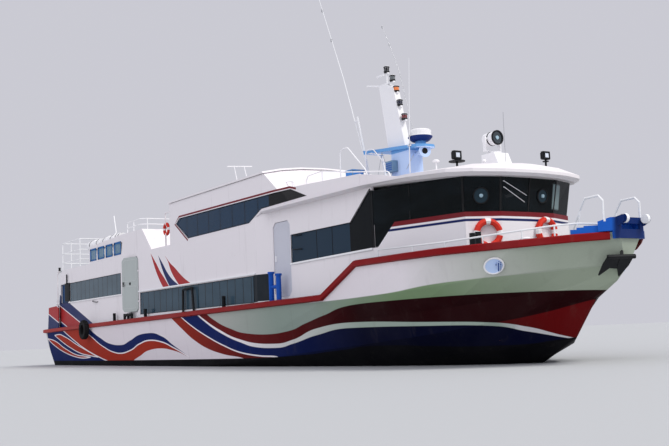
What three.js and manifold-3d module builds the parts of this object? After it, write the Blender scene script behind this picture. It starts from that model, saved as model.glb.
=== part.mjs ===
// A twin-screw aluminium passenger ferry, 33 m long, afloat.
// Millimetres. +X is forward, +Y is port, +Z is up, z = 0 is the waterline and x = 0 is midships.
import * as THREE from 'three';
import { mergeVertices } from 'three/addons/utils/BufferGeometryUtils.js';
import Module from 'manifold-3d';

const wasm = await Module();
wasm.setup();

// Driving sizes
const GAP = 0.3;
const STERN_X = -16700;
const BEAM_HALF = 2700;
const DECK_AFT_Z = 1640;
const SHEER_SLOPE = 0.0111;
const KNEE_START_X = 7600;
const KNEE_END_X = 9230;
const FORE_DECK_Z = 2680;
const WALL = 60;
const HOUSE_Y = 2450;
const HOUSE_AFT_X = -14950;
const HOUSE_BEND_X = 3600;
const FORE_Y = 2300;
const FORE_X = 4200;
const BRIDGE_X = 9500;
const UPPER_DECK_Z = 4260;
const DECK_PLATE = 80;
const EAVE_Z = 4600;
const SILL_Z = 3570;
const ROOF_AFT_X = 4160;
const EAVE_UNDER_Z = 4541;
const GLASS = 14;
const SIDES = [['starboard', -1], ['port', 1]];

// Rise of the fore deck towards the bow. Columns: x, rise
const BOW_SHEER = [[13410, 0], [14230, 17], [15000, 62], [15690, 88]];

// Height of the weather deck: a straight sheer, the knee, then the fore deck and its rise.
function deckZ(x) {
  const aft = DECK_AFT_Z + (Math.min(x, KNEE_START_X) - STERN_X) * SHEER_SLOPE;
  const part = THREE.MathUtils.clamp((x - KNEE_START_X) / (KNEE_END_X - KNEE_START_X), 0, 1);
  let rise = 0;
  for (let i = 0; i + 1 < BOW_SHEER.length; i += 1) {
    const [[xa, za], [xb, zb]] = [BOW_SHEER[i], BOW_SHEER[i + 1]];
    rise += (zb - za) * THREE.MathUtils.clamp((x - xa) / (xb - xa), 0, 1);
  }
  return aft + (FORE_DECK_Z - aft) * part + rise;
}

// Turns a closed list of positions and triangles into a solid, whichever way it winds.
function solidFrom(positions, triangles) {
  const volume = (list) => {
    let sum = 0;
    for (let i = 0; i < list.length; i += 3) {
      const [a, b, c] = [0, 1, 2].map((k) => new THREE.Vector3().fromArray(positions, list[i + k] * 3));
      sum += a.dot(b.cross(c));
    }
    return sum;
  };
  const kept = [];
  for (let i = 0; i < triangles.length; i += 3) {
    const [a, b, c] = [triangles[i], triangles[i + 1], triangles[i + 2]];
    if (a !== b && b !== c && c !== a) kept.push(a, b, c);
  }
  if (volume(kept) < 0) kept.reverse();
  return new wasm.Manifold(new wasm.Mesh({
    numProp: 3,
    vertProperties: new Float32Array(positions),
    triVerts: new Uint32Array(kept),
  }));
}

function solid(geometry) {
  const bare = geometry.clone();
  bare.deleteAttribute('normal');
  bare.deleteAttribute('uv');
  const merged = mergeVertices(bare, 1e-3);
  return solidFrom(Array.from(merged.attributes.position.array), Array.from(merged.index.array));
}

function joined(list) {
  return list.reduce((whole, piece) => whole.add(piece));
}

// Straight-sided pieces
function box(x0, x1, y0, y1, z0, z1) {
  const geometry = new THREE.BoxGeometry(x1 - x0, y1 - y0, z1 - z0);
  geometry.translate((x0 + x1) / 2, (y0 + y1) / 2, (z0 + z1) / 2);
  return solid(geometry);
}

function extruded(points, depth, matrix) {
  const shape = new THREE.Shape(points.map(([u, v]) => new THREE.Vector2(u, v)));
  const geometry = new THREE.ExtrudeGeometry(shape, { depth, bevelEnabled: false });
  geometry.applyMatrix4(matrix);
  return solid(geometry);
}

const [UX, UY, UZ] = [[1, 0, 0], [0, 1, 0], [0, 0, 1]].map((v) => new THREE.Vector3(...v));

// An outline of [x, z] pairs made thick across the ship
function sidePanel(points, y0, y1) {
  const matrix = new THREE.Matrix4().makeBasis(UX, UZ, UY.clone().negate());
  matrix.setPosition(0, Math.max(y0, y1), 0);
  return extruded(points, Math.abs(y1 - y0), matrix);
}

// An outline of [x, y] pairs made thick upwards
function planPanel(points, z0, z1) {
  return extruded(points, z1 - z0, new THREE.Matrix4().makeTranslation(0, 0, z0));
}

// An outline of [y, z] pairs made thick along the ship
function crossPanel(points, x0, x1) {
  const matrix = new THREE.Matrix4().makeBasis(UY, UZ, UX);
  matrix.setPosition(x0, 0, 0);
  return extruded(points, x1 - x0, matrix);
}

function rectangle(u0, u1, v0, v1) {
  return [[u0, v0], [u1, v0], [u1, v1], [u0, v1]];
}

// Outline of a doorway with its four corners cut off
function doorOutline(u0, u1, v0, v1, corner) {
  return [
    [u0 + corner, v0], [u1 - corner, v0], [u1, v0 + corner], [u1, v1 - corner],
    [u1 - corner, v1], [u0 + corner, v1], [u0, v1 - corner], [u0, v0 + corner],
  ];
}

// Round pieces
function rod(from, to, radius, sides = 8, endRadius = radius) {
  const [a, b] = [new THREE.Vector3(...from), new THREE.Vector3(...to)];
  const axis = b.clone().sub(a);
  const geometry = new THREE.CylinderGeometry(endRadius, radius, axis.length(), sides);
  geometry.applyQuaternion(new THREE.Quaternion().setFromUnitVectors(UY, axis.clone().normalize()));
  geometry.translate(...a.add(b).multiplyScalar(0.5).toArray());
  return solid(geometry);
}

// A bent pipe: straight lengths with a ball at each bend
function pipe(points, radius, sides = 6) {
  const pieces = [];
  for (let i = 0; i + 1 < points.length; i += 1) {
    pieces.push(rod(points[i], points[i + 1], radius, sides));
    if (i > 0) {
      const ball = new THREE.IcosahedronGeometry(radius * 1.12, 0);
      ball.translate(...points[i]);
      pieces.push(solid(ball));
    }
  }
  return joined(pieces);
}

function ring(centre, axis, radius, tube, aroundTube, around) {
  const geometry = new THREE.TorusGeometry(radius, tube, aroundTube, around);
  const normal = new THREE.Vector3(...axis).normalize();
  geometry.applyQuaternion(new THREE.Quaternion().setFromUnitVectors(UZ, normal));
  geometry.translate(...centre);
  return solid(geometry);
}

// A body that is alike to port and starboard. Each station lists [x, half breadth, z] from the
// bottom up, and all stations have the same number of points.
function mirroredLoft(stations) {
  const rows = stations[0].length;
  const positions = [];
  stations.forEach((station) => station.forEach(([x, y, z]) => positions.push(x, -y, z, x, y, z)));
  const at = (i, j, side) => (i * rows + j) * 2 + side;
  const triangles = [];
  const quad = (a, b, c, d) => triangles.push(a, b, c, a, c, d);
  const last = stations.length - 1;
  for (let i = 0; i < last; i += 1) {
    quad(at(i, 0, 0), at(i, 0, 1), at(i + 1, 0, 1), at(i + 1, 0, 0));
    quad(at(i, rows - 1, 1), at(i, rows - 1, 0), at(i + 1, rows - 1, 0), at(i + 1, rows - 1, 1));
    for (let j = 0; j + 1 < rows; j += 1) {
      quad(at(i, j, 0), at(i + 1, j, 0), at(i + 1, j + 1, 0), at(i, j + 1, 0));
      quad(at(i, j, 1), at(i, j + 1, 1), at(i + 1, j + 1, 1), at(i + 1, j, 1));
    }
  }
  for (let j = 0; j + 1 < rows; j += 1) {
    quad(at(0, j, 0), at(0, j + 1, 0), at(0, j + 1, 1), at(0, j, 1));
    quad(at(last, j, 0), at(last, j, 1), at(last, j + 1, 1), at(last, j + 1, 0));
  }
  return solidFrom(positions, triangles);
}

// The same solid after a turn and a shift
function moved(shape, matrix) {
  const { vertProperties, triVerts } = shape.getMesh();
  const positions = new THREE.BufferAttribute(new Float32Array(vertProperties), 3).applyMatrix4(matrix);
  return solidFrom(Array.from(positions.array), Array.from(triVerts));
}

// An outline drawn in by a distance along all its edges. The outline runs counter-clockwise.
function inset(points, distance) {
  const count = points.length;
  return points.map((point, i) => {
    const [before, here, after] = [points[(i + count - 1) % count], point, points[(i + 1) % count]]
      .map(([u, v]) => new THREE.Vector2(u, v));
    const normals = [here.clone().sub(before), after.clone().sub(here)]
      .map((edge) => new THREE.Vector2(-edge.y, edge.x).normalize());
    const mitre = normals[0].clone().add(normals[1]).normalize();
    const reach = distance / mitre.dot(normals[0]);
    return [here.x + mitre.x * reach, here.y + mitre.y * reach];
  });
}

// A bar of four-cornered section through a row of rings, closed at both ends
function ribbon(rings) {
  const triangles = [];
  for (let i = 0; i + 1 < rings.length; i += 1) {
    for (let j = 0; j < 4; j += 1) {
      const [a, b, c, d] = [i * 4 + j, (i + 1) * 4 + j, (i + 1) * 4 + ((j + 1) % 4), i * 4 + ((j + 1) % 4)];
      triangles.push(a, b, c, a, c, d);
    }
  }
  const end = (rings.length - 1) * 4;
  triangles.push(0, 1, 2, 0, 2, 3, end, end + 3, end + 2, end, end + 2, end + 1);
  return solidFrom(rings.flat(2), triangles);
}

function mirrored(points, side) {
  return points.map(([x, y, z]) => [x, y * side, z]);
}

// Hull: a hard-chine planing form with two spray lines, a knuckle and a raised fore deck.
// Columns: keel x, z; spray rail x, y, z; chine x, y, z; flare x, y, z; knuckle x, y, z; deck edge x, y
const HULL_TABLE = [
  [-15550, -720, -15700, 1250, -430, -15900, 2380, -120, -16400, 2540, 900, -16650, 2600, 1480,
    STERN_X, 2600],
  [-12000, -960, -12000, 1300, -540, -12000, 2450, -150, -12000, 2620, 900, -12000, 2690, 1540,
    -12000, BEAM_HALF],
  [-4000, -1100, -4000, 1400, -620, -4000, 2500, -90, -4000, 2630, 900, -4000, 2690, 1620, -4000, BEAM_HALF],
  [1000, -1120, 1000, 1550, -560, 1000, 2540, 60, 1000, 2640, 950, 1000, 2690, 1670, 1000, BEAM_HALF],
  [5000, -1080, 5000, 1680, -350, 5000, 2480, 310, 5000, 2610, 1050, 5000, 2690, 1710, 5000, BEAM_HALF],
  [7500, -1000, 7500, 1690, -110, 7600, 2360, 490, 7600, 2530, 1150, 7600, 2680, 1740,
    KNEE_START_X, BEAM_HALF],
  [9000, -900, 9000, 1640, 20, 9200, 2270, 600, 9200, 2440, 1220, 9200, 2660, 1765, KNEE_END_X, BEAM_HALF],
  [10300, -720, 10600, 1530, 165, 10700, 2180, 710, 10900, 2340, 1290, 11000, 2590, 1800, 11100, BEAM_HALF],
  [11300, -500, 11800, 1360, 280, 11930, 2000, 830, 12160, 2110, 1370, 12380, 2430, 1870, 12450, 2635],
  [12000, -290, 12600, 1110, 360, 12700, 1650, 950, 12980, 1710, 1456, 13300, 2140, 1956, 13410, 2340],
  [12450, -120, 13120, 770, 424, 13360, 1050, 1105, 13660, 1100, 1562, 14000, 1550, 2023, 14230, 1880],
  [12750, -20, 13500, 380, 474, 13910, 520, 1266, 14385, 575, 1671, 14695, 855, 2075, 15000, 1110],
  [12950, 60, 13880, 45, 535, 14570, 45, 1420, 15180, 45, 1760, 15530, 70, 2110, 15690, 350],
];

function hullStations() {
  return HULL_TABLE.map(([keelX, keelZ, sprayX, sprayY, sprayZ, chineX, chineY, chineZ,
    flareX, flareY, flareZ, knuckleX, knuckleY, knuckleZ, deckX, deckY]) => [
    [keelX, 30, keelZ], [sprayX, sprayY, sprayZ], [chineX, chineY, chineZ],
    [flareX, flareY, flareZ], [knuckleX, knuckleY, knuckleZ], [deckX, deckY, deckZ(deckX)],
  ]);
}

// Under-water gear: on each side a sloping shaft in its bracket, with the propeller ahead of its rudder
const SHAFT_Y = 1150;
const SHAFT_SLOPE = 0.12;
const PROPELLER = [-13500, -1120];
const PROPELLER_R = 420;
const HUB_HALF = 160;
const RUN_CLEAR = 5.5;
const RUDDER_X = -14600;
const RUDDER_BOSS_Z = -560;

// Point on a shaft line, at a distance ahead of the propeller
function onShaft(side, ahead) {
  const [x, z] = PROPELLER;
  const along = new THREE.Vector2(1, SHAFT_SLOPE).normalize().multiplyScalar(ahead);
  return [x + along.x, SHAFT_Y * side, z + along.y];
}

function shaftGear(side) {
  const barrelAft = HUB_HALF + RUN_CLEAR;
  const y = SHAFT_Y * side;
  const strutFoot = onShaft(side, barrelAft + 170);
  return joined([
    rod(onShaft(side, barrelAft), onShaft(side, barrelAft + 360), 85, 12),
    rod(onShaft(side, HUB_HALF + GAP), onShaft(side, 4800), 45, 10),
    rod(strutFoot, [strutFoot[0], y - 330 * side, -560], 34, 6),
    rod(strutFoot, [strutFoot[0], y + 330 * side, -380], 34, 6),
    rod([RUDDER_X, y, RUDDER_BOSS_Z], [RUDDER_X, y, RUDDER_BOSS_Z + 200], 85, 12),
  ]);
}

function hull() {
  const keelBar = sidePanel([[-11500, -900], [-9800, -1280], [6500, -1280], [8600, -880]], -45, 45);
  return joined([mirroredLoft(hullStations()), keelBar, ...SIDES.map(([, side]) => shaftGear(side))]);
}

// Bollards with a crossbar on the side deck. Columns: x, height
const BOLLARDS = [[-7840, 310], [-4700, 310], [1650, 360]];
const BOLLARD_Y = 2590;
const BOLLARD_R = 60;
const FOOT_PLATE = 14;
// Round-headed mooring posts beside the forward doors. Columns: x, height
const MOORING_POSTS = [[4660, 860], [5080, 780]];
const MOORING_Y = 2560;

// Foot plate on the deck, from inboard of a post out into the rubbing rail
function footPlate(x0, x1, side) {
  const [y0, y1] = [Math.min(2470 * side, 2730 * side), Math.max(2470 * side, 2730 * side)];
  return box(x0, x1, y0, y1, deckZ(x1) + GAP, deckZ(x1) + FOOT_PLATE);
}

function bollard(x, height, side) {
  const [y, foot] = [BOLLARD_Y * side, deckZ(x) + FOOT_PLATE / 2];
  const barZ = foot + height * 0.62;
  return joined([
    footPlate(x - 110, x + 110, side),
    rod([x, y, foot], [x, y, foot + height], BOLLARD_R, 10),
    rod([x - 100, y, barZ], [x + 100, y, barZ], 21, 6),
  ]);
}

function mooringPair(side) {
  const y = MOORING_Y * side;
  const [[aftX], [foreX]] = MOORING_POSTS;
  const posts = MOORING_POSTS.map(([x, height]) => {
    const foot = deckZ(x) + FOOT_PLATE / 2;
    return rod([x, y, foot], [x, y, foot + height], 75, 10).add(
      rod([x, y, foot + height - 60], [x, y, foot + height], 100, 10),
    );
  });
  const pipeZ = deckZ(aftX) + 420;
  const crossPipe = rod([aftX, y, pipeZ], [foreX, y, pipeZ], 55, 8);
  return joined([...posts, footPlate(aftX - 130, foreX + 130, side), crossPipe]);
}

// Rubbing rail: one band round the deck edge, from the transom to the bow, with the side deck's bollards
const RAIL_DEPTH = 175;
const RAIL_OUT = 85;
const RAIL_OUT_BOW = 30;
const RAIL_TAPER = [12450, 14230];
const RAIL_ABOVE = 20;
const RAIL_END = [15550, 504, deckZ(15550)];

function rubbingRail() {
  const edge = hullStations().map((station) => station[station.length - 1]);
  edge[edge.length - 1] = RAIL_END;
  const starboard = edge.map(([x, y, z]) => [x, -y, z]).reverse();
  const path = [...starboard, ...edge];
  const last = path.length - 1;
  const rings = path.map(([x, y, z], i) => {
    const [before, after] = [path[Math.max(i - 1, 0)], path[Math.min(i + 1, last)]];
    const here = new THREE.Vector2(x, y);
    const into = here.clone().sub(new THREE.Vector2(before[0], before[1]));
    const out = new THREE.Vector2(after[0], after[1]).sub(here);
    const normals = [i === 0 ? out : into, i === last ? into : out]
      .map((edgeLine) => new THREE.Vector2(edgeLine.y, -edgeLine.x).normalize());
    const mitre = normals[0].clone().add(normals[1]).normalize();
    const reach = -1 / mitre.dot(normals[0]);
    const taper = THREE.MathUtils.smoothstep(x, ...RAIL_TAPER);
    const proud = RAIL_OUT - (RAIL_OUT - RAIL_OUT_BOW) * taper;
    return [[GAP, RAIL_ABOVE], [proud, RAIL_ABOVE - 25], [proud, RAIL_ABOVE - RAIL_DEPTH + 25],
      [GAP, RAIL_ABOVE - RAIL_DEPTH]].map(([away, rise]) => [
      x + mitre.x * away * reach, y + mitre.y * away * reach, z + rise,
    ]);
  });
  const fittings = SIDES.flatMap(([, side]) => [
    mooringPair(side), ...BOLLARDS.map(([x, height]) => bollard(x, height, side)),
  ]);
  return joined([ribbon(rings), ...fittings]);
}

function propeller(side) {
  const pieces = [rod(onShaft(side, -HUB_HALF), onShaft(side, HUB_HALF), 60, 12, 85)];
  const blade = new THREE.Shape();
  blade.moveTo(-60, 40);
  blade.quadraticCurveTo(-200, 260, -60, PROPELLER_R);
  blade.lineTo(70, PROPELLER_R - 10);
  blade.quadraticCurveTo(200, 240, 60, 40);
  for (let i = 0; i < 4; i += 1) {
    const geometry = new THREE.ExtrudeGeometry(blade, { depth: 22, bevelEnabled: false, curveSegments: 4 });
    geometry.translate(0, 0, -11);
    geometry.rotateY(side * 0.62);
    geometry.applyMatrix4(new THREE.Matrix4().makeBasis(UY, UZ, UX));
    geometry.rotateX((i * Math.PI) / 2);
    geometry.rotateY(-Math.atan(SHAFT_SLOPE));
    geometry.translate(...onShaft(side, 0));
    pieces.push(solid(geometry));
  }
  return joined(pieces);
}

function rudder(side) {
  const y = SHAFT_Y * side;
  const blade = sidePanel(
    [[RUDDER_X - 380, -760], [RUDDER_X - 340, -1480], [RUDDER_X + 150, -1480], [RUDDER_X + 200, -760]],
    y - 32, y + 32,
  );
  return blade.add(rod([RUDDER_X, y, -900], [RUDDER_X, y, RUDDER_BOSS_Z - GAP], 50, 10));
}

// Bow platform: the box over the stem head with its rope slot, its coaming and two rollers, the low
// bulwark abaft it and the two hoops that stand on it
const BOX_TOP_Z = 2990;
const LIP_Z = 2630;
const OVER_RAIL_Z = deckZ(15690) + RAIL_ABOVE + 5;
const BOX_PLAN = [[15400, 690], [15600, 520], [15700, 385]];
const COAMING_PLAN = [[15400, 670], [15590, 500], [15685, 370]];
const COAMING_CUT = [
  [15300, 3005], [15400, 3005], [15600, 3080], [15800, 3080], [15800, 3300], [15300, 3300],
];
const LIP_PLAN = [[15540, 385], [15600, 480], [15640, 490], [15700, 385]];
const BASE_PLAN = [[15400, 640], [15540, 470], [15620, 350]];
const BOW_BULWARK = [[14990, 1090, 2860], [15080, 990, 2900], [15180, 880, 2930], [15410, 630, 2930]];
const BOW_HOOP = [[14700, 2600], [14820, 3310], [14990, 3555], [15370, 3570], [15485, 3450], [15470, 2960]];
const HOOP_BRACE = [[14437, 2600], [14820, 3310]];
const HOOP_Y = 580;
const BOW_FOOT_Z = 2735;
const ROLLER = { x: 15830, y: 350, z: 3040, radius: 100 };

// A plan given for one side only, closed across the centre line
function bothSides(points) {
  return [...points.map(([x, y]) => [x, -y]), ...[...points].reverse()];
}

// A piece cut off where it would enter the deck
function onDeck(shape, hullShape) {
  return shape.subtract(moved(hullShape, new THREE.Matrix4().makeTranslation(0, 0, GAP)));
}

function bowPlatform(hullShape) {
  let lip = planPanel(bothSides(LIP_PLAN), LIP_Z, OVER_RAIL_Z + 5);
  [[3, 0, GAP], [0, 0, GAP]].forEach((step) => {
    lip = lip.subtract(moved(hullShape, new THREE.Matrix4().makeTranslation(...step)));
  });
  let body = joined([
    planPanel(bothSides(BOX_PLAN), OVER_RAIL_Z, BOX_TOP_Z),
    planPanel(bothSides(BASE_PLAN), BOW_FOOT_Z, OVER_RAIL_Z + 5),
    planPanel(bothSides(BOX_PLAN), BOX_TOP_Z - 5, 3080)
      .subtract(planPanel(bothSides(COAMING_PLAN), BOX_TOP_Z, 3100))
      .subtract(sidePanel(COAMING_CUT, -1000, 1000)),
    lip,
  ]);
  body = body.subtract(box(15500, 15800, -290, 290, 2826, 2946));
  SIDES.forEach(([, side]) => {
    for (let i = 0; i + 1 < BOW_BULWARK.length; i += 1) {
      const [[xa, ya, top], [xb, yb]] = [BOW_BULWARK[i], BOW_BULWARK[i + 1]];
      body = body.add(planPanel([[xa, ya * side], [xb + 10, (yb - 10) * side], [xb - 40, (yb - 60) * side],
        [xa - 50, (ya - 50) * side]], BOW_FOOT_Z, top));
    }
    const at = ([x, z]) => [x, HOOP_Y * side, z];
    body = joined([body, pipe(BOW_HOOP.map(at), 24), pipe(HOOP_BRACE.map(at), 20)]);
    const { x, y, z, radius } = ROLLER;
    body = body.add(rod([x, (y - 60) * side, z], [x, (y + 30) * side, z], radius, 14));
    body = body.add(sidePanel([[15600, 2900], [15720, 2900], [15880, 2980], [15880, 3090], [15810, 3115],
      [15600, 3075]], (y + 25) * side, (y + 60) * side));
  });
  return onDeck(body, hullShape);
}

// White hand rails on the fore deck, with a pair of bollards. Columns: x, y, z of each bend
const FORE_RAIL = [
  [10000, 2560, 2890], [11400, 2560, 2850], [12500, 2480, 2830], [13450, 2197, 2866], [14237, 1773, 2920],
  [14725, 1285, 2980], [15020, 885, 3003], [15320, 560, 2965],
];
// Columns: x, y
const FORE_BOLLARDS = [[12950, 2050], [13200, 2100]];

function bowRail(side, hullShape) {
  const pieces = [pipe(mirrored(FORE_RAIL, side), 20)];
  FORE_RAIL.forEach(([x, y, z]) => {
    pieces.push(rod([x, y * side, deckZ(x) - 10], [x, y * side, z], 18, 6));
  });
  const foot = FORE_DECK_Z + FOOT_PLATE;
  pieces.push(planPanel([[12860, 1960], [13500, 2150], [13500, 2200], [13430, 2230], [12860, 2140]]
    .map(([x, y]) => [x, y * side]), FORE_DECK_Z, foot));
  FORE_BOLLARDS.forEach(([x, y]) => {
    pieces.push(rod([x, y * side, foot - 5], [x, y * side, foot + 300], 70, 10));
  });
  return onDeck(joined(pieces), hullShape);
}

// Anchor, with its shank drawn into the hull under the starboard flare. The crown bar runs
// along ANCHOR_BAR, and the two flukes lie in one plane with it and slope down and aft.
const ANCHOR_CROWN = [15640, -300, 2240];
const SHANK_HEAD = [15540, -150, 2400];
const ANCHOR_BAR = [0.408, 0.913, 0];
const ANCHOR_FLUKES = [-0.62, 0.278, -0.734];
// Outlines of the two flukes. Columns: along the crown bar, down the fluke
const FLUKES = [
  [[-300, -20], [-80, -20], [-130, 210], [-395, 490], [-365, 200]],
  [[-20, -20], [270, -20], [215, 230], [70, 535], [-45, 230]],
];

function anchor(hullShape) {
  const [bar, down] = [ANCHOR_BAR, ANCHOR_FLUKES].map((v) => new THREE.Vector3(...v).normalize());
  const stowed = new THREE.Matrix4().makeBasis(bar, down, bar.clone().cross(down));
  stowed.setPosition(...ANCHOR_CROWN);
  const web = planPanel([[-250, -20], [250, -20], [150, 330], [-180, 300]], -14, 14);
  const flukes = FLUKES.map((outline) => planPanel(outline, -24, 24));
  const head = joined([rod([-310, 0, 0], [310, 0, 0], 50, 8), web, ...flukes]);
  const shank = rod(ANCHOR_CROWN, SHANK_HEAD, 34, 8);
  const clearHull = moved(hullShape, new THREE.Matrix4().makeTranslation(2 * GAP, 0, 0));
  return moved(head, stowed).add(shank).subtract(clearHull);
}

// Main house side: windows and the boarding door. Columns: x0, x1, z0, z1
const AFT_BAND = [-13550, -7450, 2780, 3610];
const MID_BAND = [-5500, 3400, 1920, 2720];
const SIDE_DOOR = [-6710, -5640, 2030, 4130];
const DOOR_CORNER = 130;
// Line where the lower side ends and the upper side begins, rising from the upper deck to the eave
const BREAK_LINE = [[3040, UPPER_DECK_Z], [HOUSE_BEND_X, 4455], [4030, 4603]];
const DOOR_CLEAR = 10;

function sideWall(side) {
  const [y0, y1] = [HOUSE_Y * side, (HOUSE_Y - WALL) * side];
  const outline = [
    [-15200, deckZ(-15200) + GAP], [HOUSE_BEND_X, deckZ(HOUSE_BEND_X) + GAP],
    ...BREAK_LINE.slice(0, 2).reverse(), [-14600, UPPER_DECK_Z], [HOUSE_AFT_X + 80, 4140],
  ];
  let wall = sidePanel(outline, y0, y1);
  const [low, high] = [Math.min(y0, y1) - 50, Math.max(y0, y1) + 50];
  wall = wall.subtract(sidePanel(rectangle(...AFT_BAND), low, high));
  wall = wall.subtract(sidePanel(rectangle(...MID_BAND), low, high));
  wall = wall.subtract(sidePanel(rectangle(-14800, -13750, 2780, 3610), low, high));
  wall = wall.subtract(sidePanel(doorOutline(...SIDE_DOOR, DOOR_CORNER), low, high));
  return withHinges(wall, sideHinge(side), 'frame');
}

// A pane let into an opening of a side wall, a little behind the wall's face
function pane(outline, side, outerY) {
  const y = (outerY - 20) * side;
  return sidePanel(inset(outline, GAP), y, y - GLASS * side);
}

// Forward house side: the recessed door, the window and the black bridge pane in one plane
const FORE_DOOR = [4400, 5380, 2010, 4200];
const FORE_PANE = [
  [5430, 2940], [BRIDGE_X - 60, 2990], [BRIDGE_X - 60, 4500], [9400, 4500], [8470, 3750], [5430, 3750],
];

function foreWall(side, roofShape) {
  const [y0, y1] = [FORE_Y * side, (FORE_Y - WALL) * side];
  const [bendA, bendB] = [HOUSE_BEND_X + GAP, FORE_X];
  const highZ = EAVE_Z + 200;
  const outline = [
    [FORE_X - 100, deckZ(FORE_X - 100) + GAP], [KNEE_START_X, deckZ(KNEE_START_X) + GAP],
    [KNEE_END_X, FORE_DECK_Z + GAP], [BRIDGE_X, FORE_DECK_Z + GAP], [BRIDGE_X, highZ], [FORE_X - 100, highZ],
  ];
  let wall = sidePanel(outline, y0, y1);
  const facetFoot = deckZ(FORE_X) + GAP;
  wall = wall.add(planPanel([[bendA, HOUSE_Y * side], [bendB, FORE_Y * side],
    [bendB, (FORE_Y - WALL) * side], [bendA, (HOUSE_Y - WALL) * side]], facetFoot, highZ));
  wall = wall.subtract(moved(roofShape, new THREE.Matrix4().makeTranslation(0, 0, -GAP)));
  wall = wall.subtract(box(3000, 12000, -3000, 3000, EAVE_Z, 9000));
  wall = wall.subtract(sidePanel([...BREAK_LINE, [4030, 9000], [3040, 9000]], -3000, 3000));
  wall = wall.subtract(box(4000, ROOF_AFT_X, -3000, 3000, EAVE_UNDER_Z - GAP, 9000));
  const [low, high] = [Math.min(y0, y1) - 50, Math.max(y0, y1) + 50];
  wall = wall.subtract(sidePanel(doorOutline(...FORE_DOOR, DOOR_CORNER), low, high));
  wall = wall.subtract(sidePanel(FORE_PANE, low, high));
  return withHinges(wall, foreHinge(side), 'frame');
}

// Lift-off hinge on an axis just outside the gap between leaf and frame. In plan, u runs from the
// axis along the closed leaf and n the way that the leaf opens. The frame's half lies under the leaf's.
const HINGE_OUT = 13;
const KNUCKLE_R = 11;
const KNUCKLE_H = 60;
const STRAP_TOP = -3;

function hingeHalf({ axis, u, n, wallFace }, z, half) {
  const onLeaf = half === 'leaf';
  const [z0, z1] = onLeaf ? [z + GAP, z + KNUCKLE_H] : [z - KNUCKLE_H, z];
  const strap = onLeaf
    ? box(0, 90, -HINGE_OUT - 2, STRAP_TOP, z0, z1)
    : box(-50, 0, -wallFace - 2, STRAP_TOP, z0, z1);
  const local = strap.add(rod([0, 0, z0], [0, 0, z1], KNUCKLE_R, 10));
  const matrix = new THREE.Matrix4().makeBasis(
    new THREE.Vector3(...u, 0), new THREE.Vector3(...n, 0), UZ,
  );
  matrix.setPosition(axis[0], axis[1], 0);
  return moved(local, matrix);
}

function withHinges(shape, hinge, half) {
  return joined([shape, ...hinge.heights.map((z) => hingeHalf(hinge, z, half))]);
}

// A door leaf in the closed position
function sideLeaf([x0, x1, z0, z1], side, faceY, thick) {
  return sidePanel(
    doorOutline(x0 + DOOR_CLEAR, x1 - DOOR_CLEAR, z0 + DOOR_CLEAR, z1 - DOOR_CLEAR, DOOR_CORNER),
    faceY * side, (faceY - thick) * side,
  );
}

// The aft boarding door turns outwards about its forward edge. It stands ajar to starboard.
const LEAF = 50;
const LEAF_PROUD = 15;
const AJAR_DEG = { starboard: 13, port: 0 };

function sideHinge(side) {
  const outY = HOUSE_Y + LEAF_PROUD + HINGE_OUT;
  return {
    axis: [SIDE_DOOR[1] - DOOR_CLEAR / 2, outY * side], u: [-1, 0], n: [0, side],
    wallFace: HINGE_OUT + LEAF_PROUD, heights: [2450, 3600],
  };
}

function sideDoor(name, side) {
  const hinge = sideHinge(side);
  const leaf = withHinges(sideLeaf(SIDE_DOOR, side, HOUSE_Y + LEAF_PROUD, LEAF), hinge, 'leaf');
  const [x, y] = hinge.axis;
  const matrix = new THREE.Matrix4().makeTranslation(x, y, 0);
  matrix.multiply(new THREE.Matrix4().makeRotationZ(THREE.MathUtils.degToRad(-side * AJAR_DEG[name])));
  return moved(leaf, matrix.multiply(new THREE.Matrix4().makeTranslation(-x, -y, 0)));
}

// The forward doors open inwards, clear of the mooring posts outside them.
const FORE_LEAF = 36;
const FORE_LEAF_PROUD = 2;

function foreHinge(side) {
  const leafY = FORE_Y - WALL - FORE_LEAF_PROUD;
  return {
    axis: [FORE_DOOR[1] - DOOR_CLEAR / 2, (leafY - HINGE_OUT) * side], u: [-1, 0], n: [0, -side],
    wallFace: HINGE_OUT + FORE_LEAF_PROUD, heights: [2450, 3600],
  };
}

function foreDoor(side) {
  const outerY = FORE_Y - WALL - FORE_LEAF_PROUD + FORE_LEAF;
  return withHinges(sideLeaf(FORE_DOOR, side, outerY, FORE_LEAF), foreHinge(side), 'leaf');
}

// Aft bulkhead with its centre door
const AFT_DOOR = [-450, 450, 1980, 3950];

function aftBulkhead() {
  const inner = HOUSE_Y - WALL - GAP;
  const top = UPPER_DECK_Z - DECK_PLATE - GAP;
  const wall = crossPanel(rectangle(-inner, inner, deckZ(HOUSE_AFT_X + WALL) + GAP, top),
    HOUSE_AFT_X, HOUSE_AFT_X + WALL);
  return withHinges(
    wall.subtract(crossPanel(doorOutline(...AFT_DOOR, DOOR_CORNER), HOUSE_AFT_X - 50, HOUSE_AFT_X + 150)),
    crossHinge(AFT_DOOR, HOUSE_AFT_X, 1), 'frame',
  );
}

// Doors in walls across the ship open aft, about their port (1) or starboard (-1) edge.
function crossHinge([y0, y1, z0, z1], wallX, edge) {
  const edgeY = edge > 0 ? y1 : y0;
  return {
    axis: [wallX - LEAF_PROUD - HINGE_OUT, edgeY - (edge * DOOR_CLEAR) / 2], u: [0, -edge], n: [-1, 0],
    wallFace: HINGE_OUT + LEAF_PROUD, heights: [z0 + 350, z1 - 350],
  };
}

function crossDoor(opening, wallX, edge) {
  const [y0, y1, z0, z1] = opening;
  const leaf = crossPanel(
    doorOutline(y0 + DOOR_CLEAR, y1 - DOOR_CLEAR, z0 + DOOR_CLEAR, z1 - DOOR_CLEAR, DOOR_CORNER),
    wallX - LEAF_PROUD, wallX - LEAF_PROUD + LEAF,
  );
  return withHinges(leaf, crossHinge(opening, wallX, edge), 'leaf');
}

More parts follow.
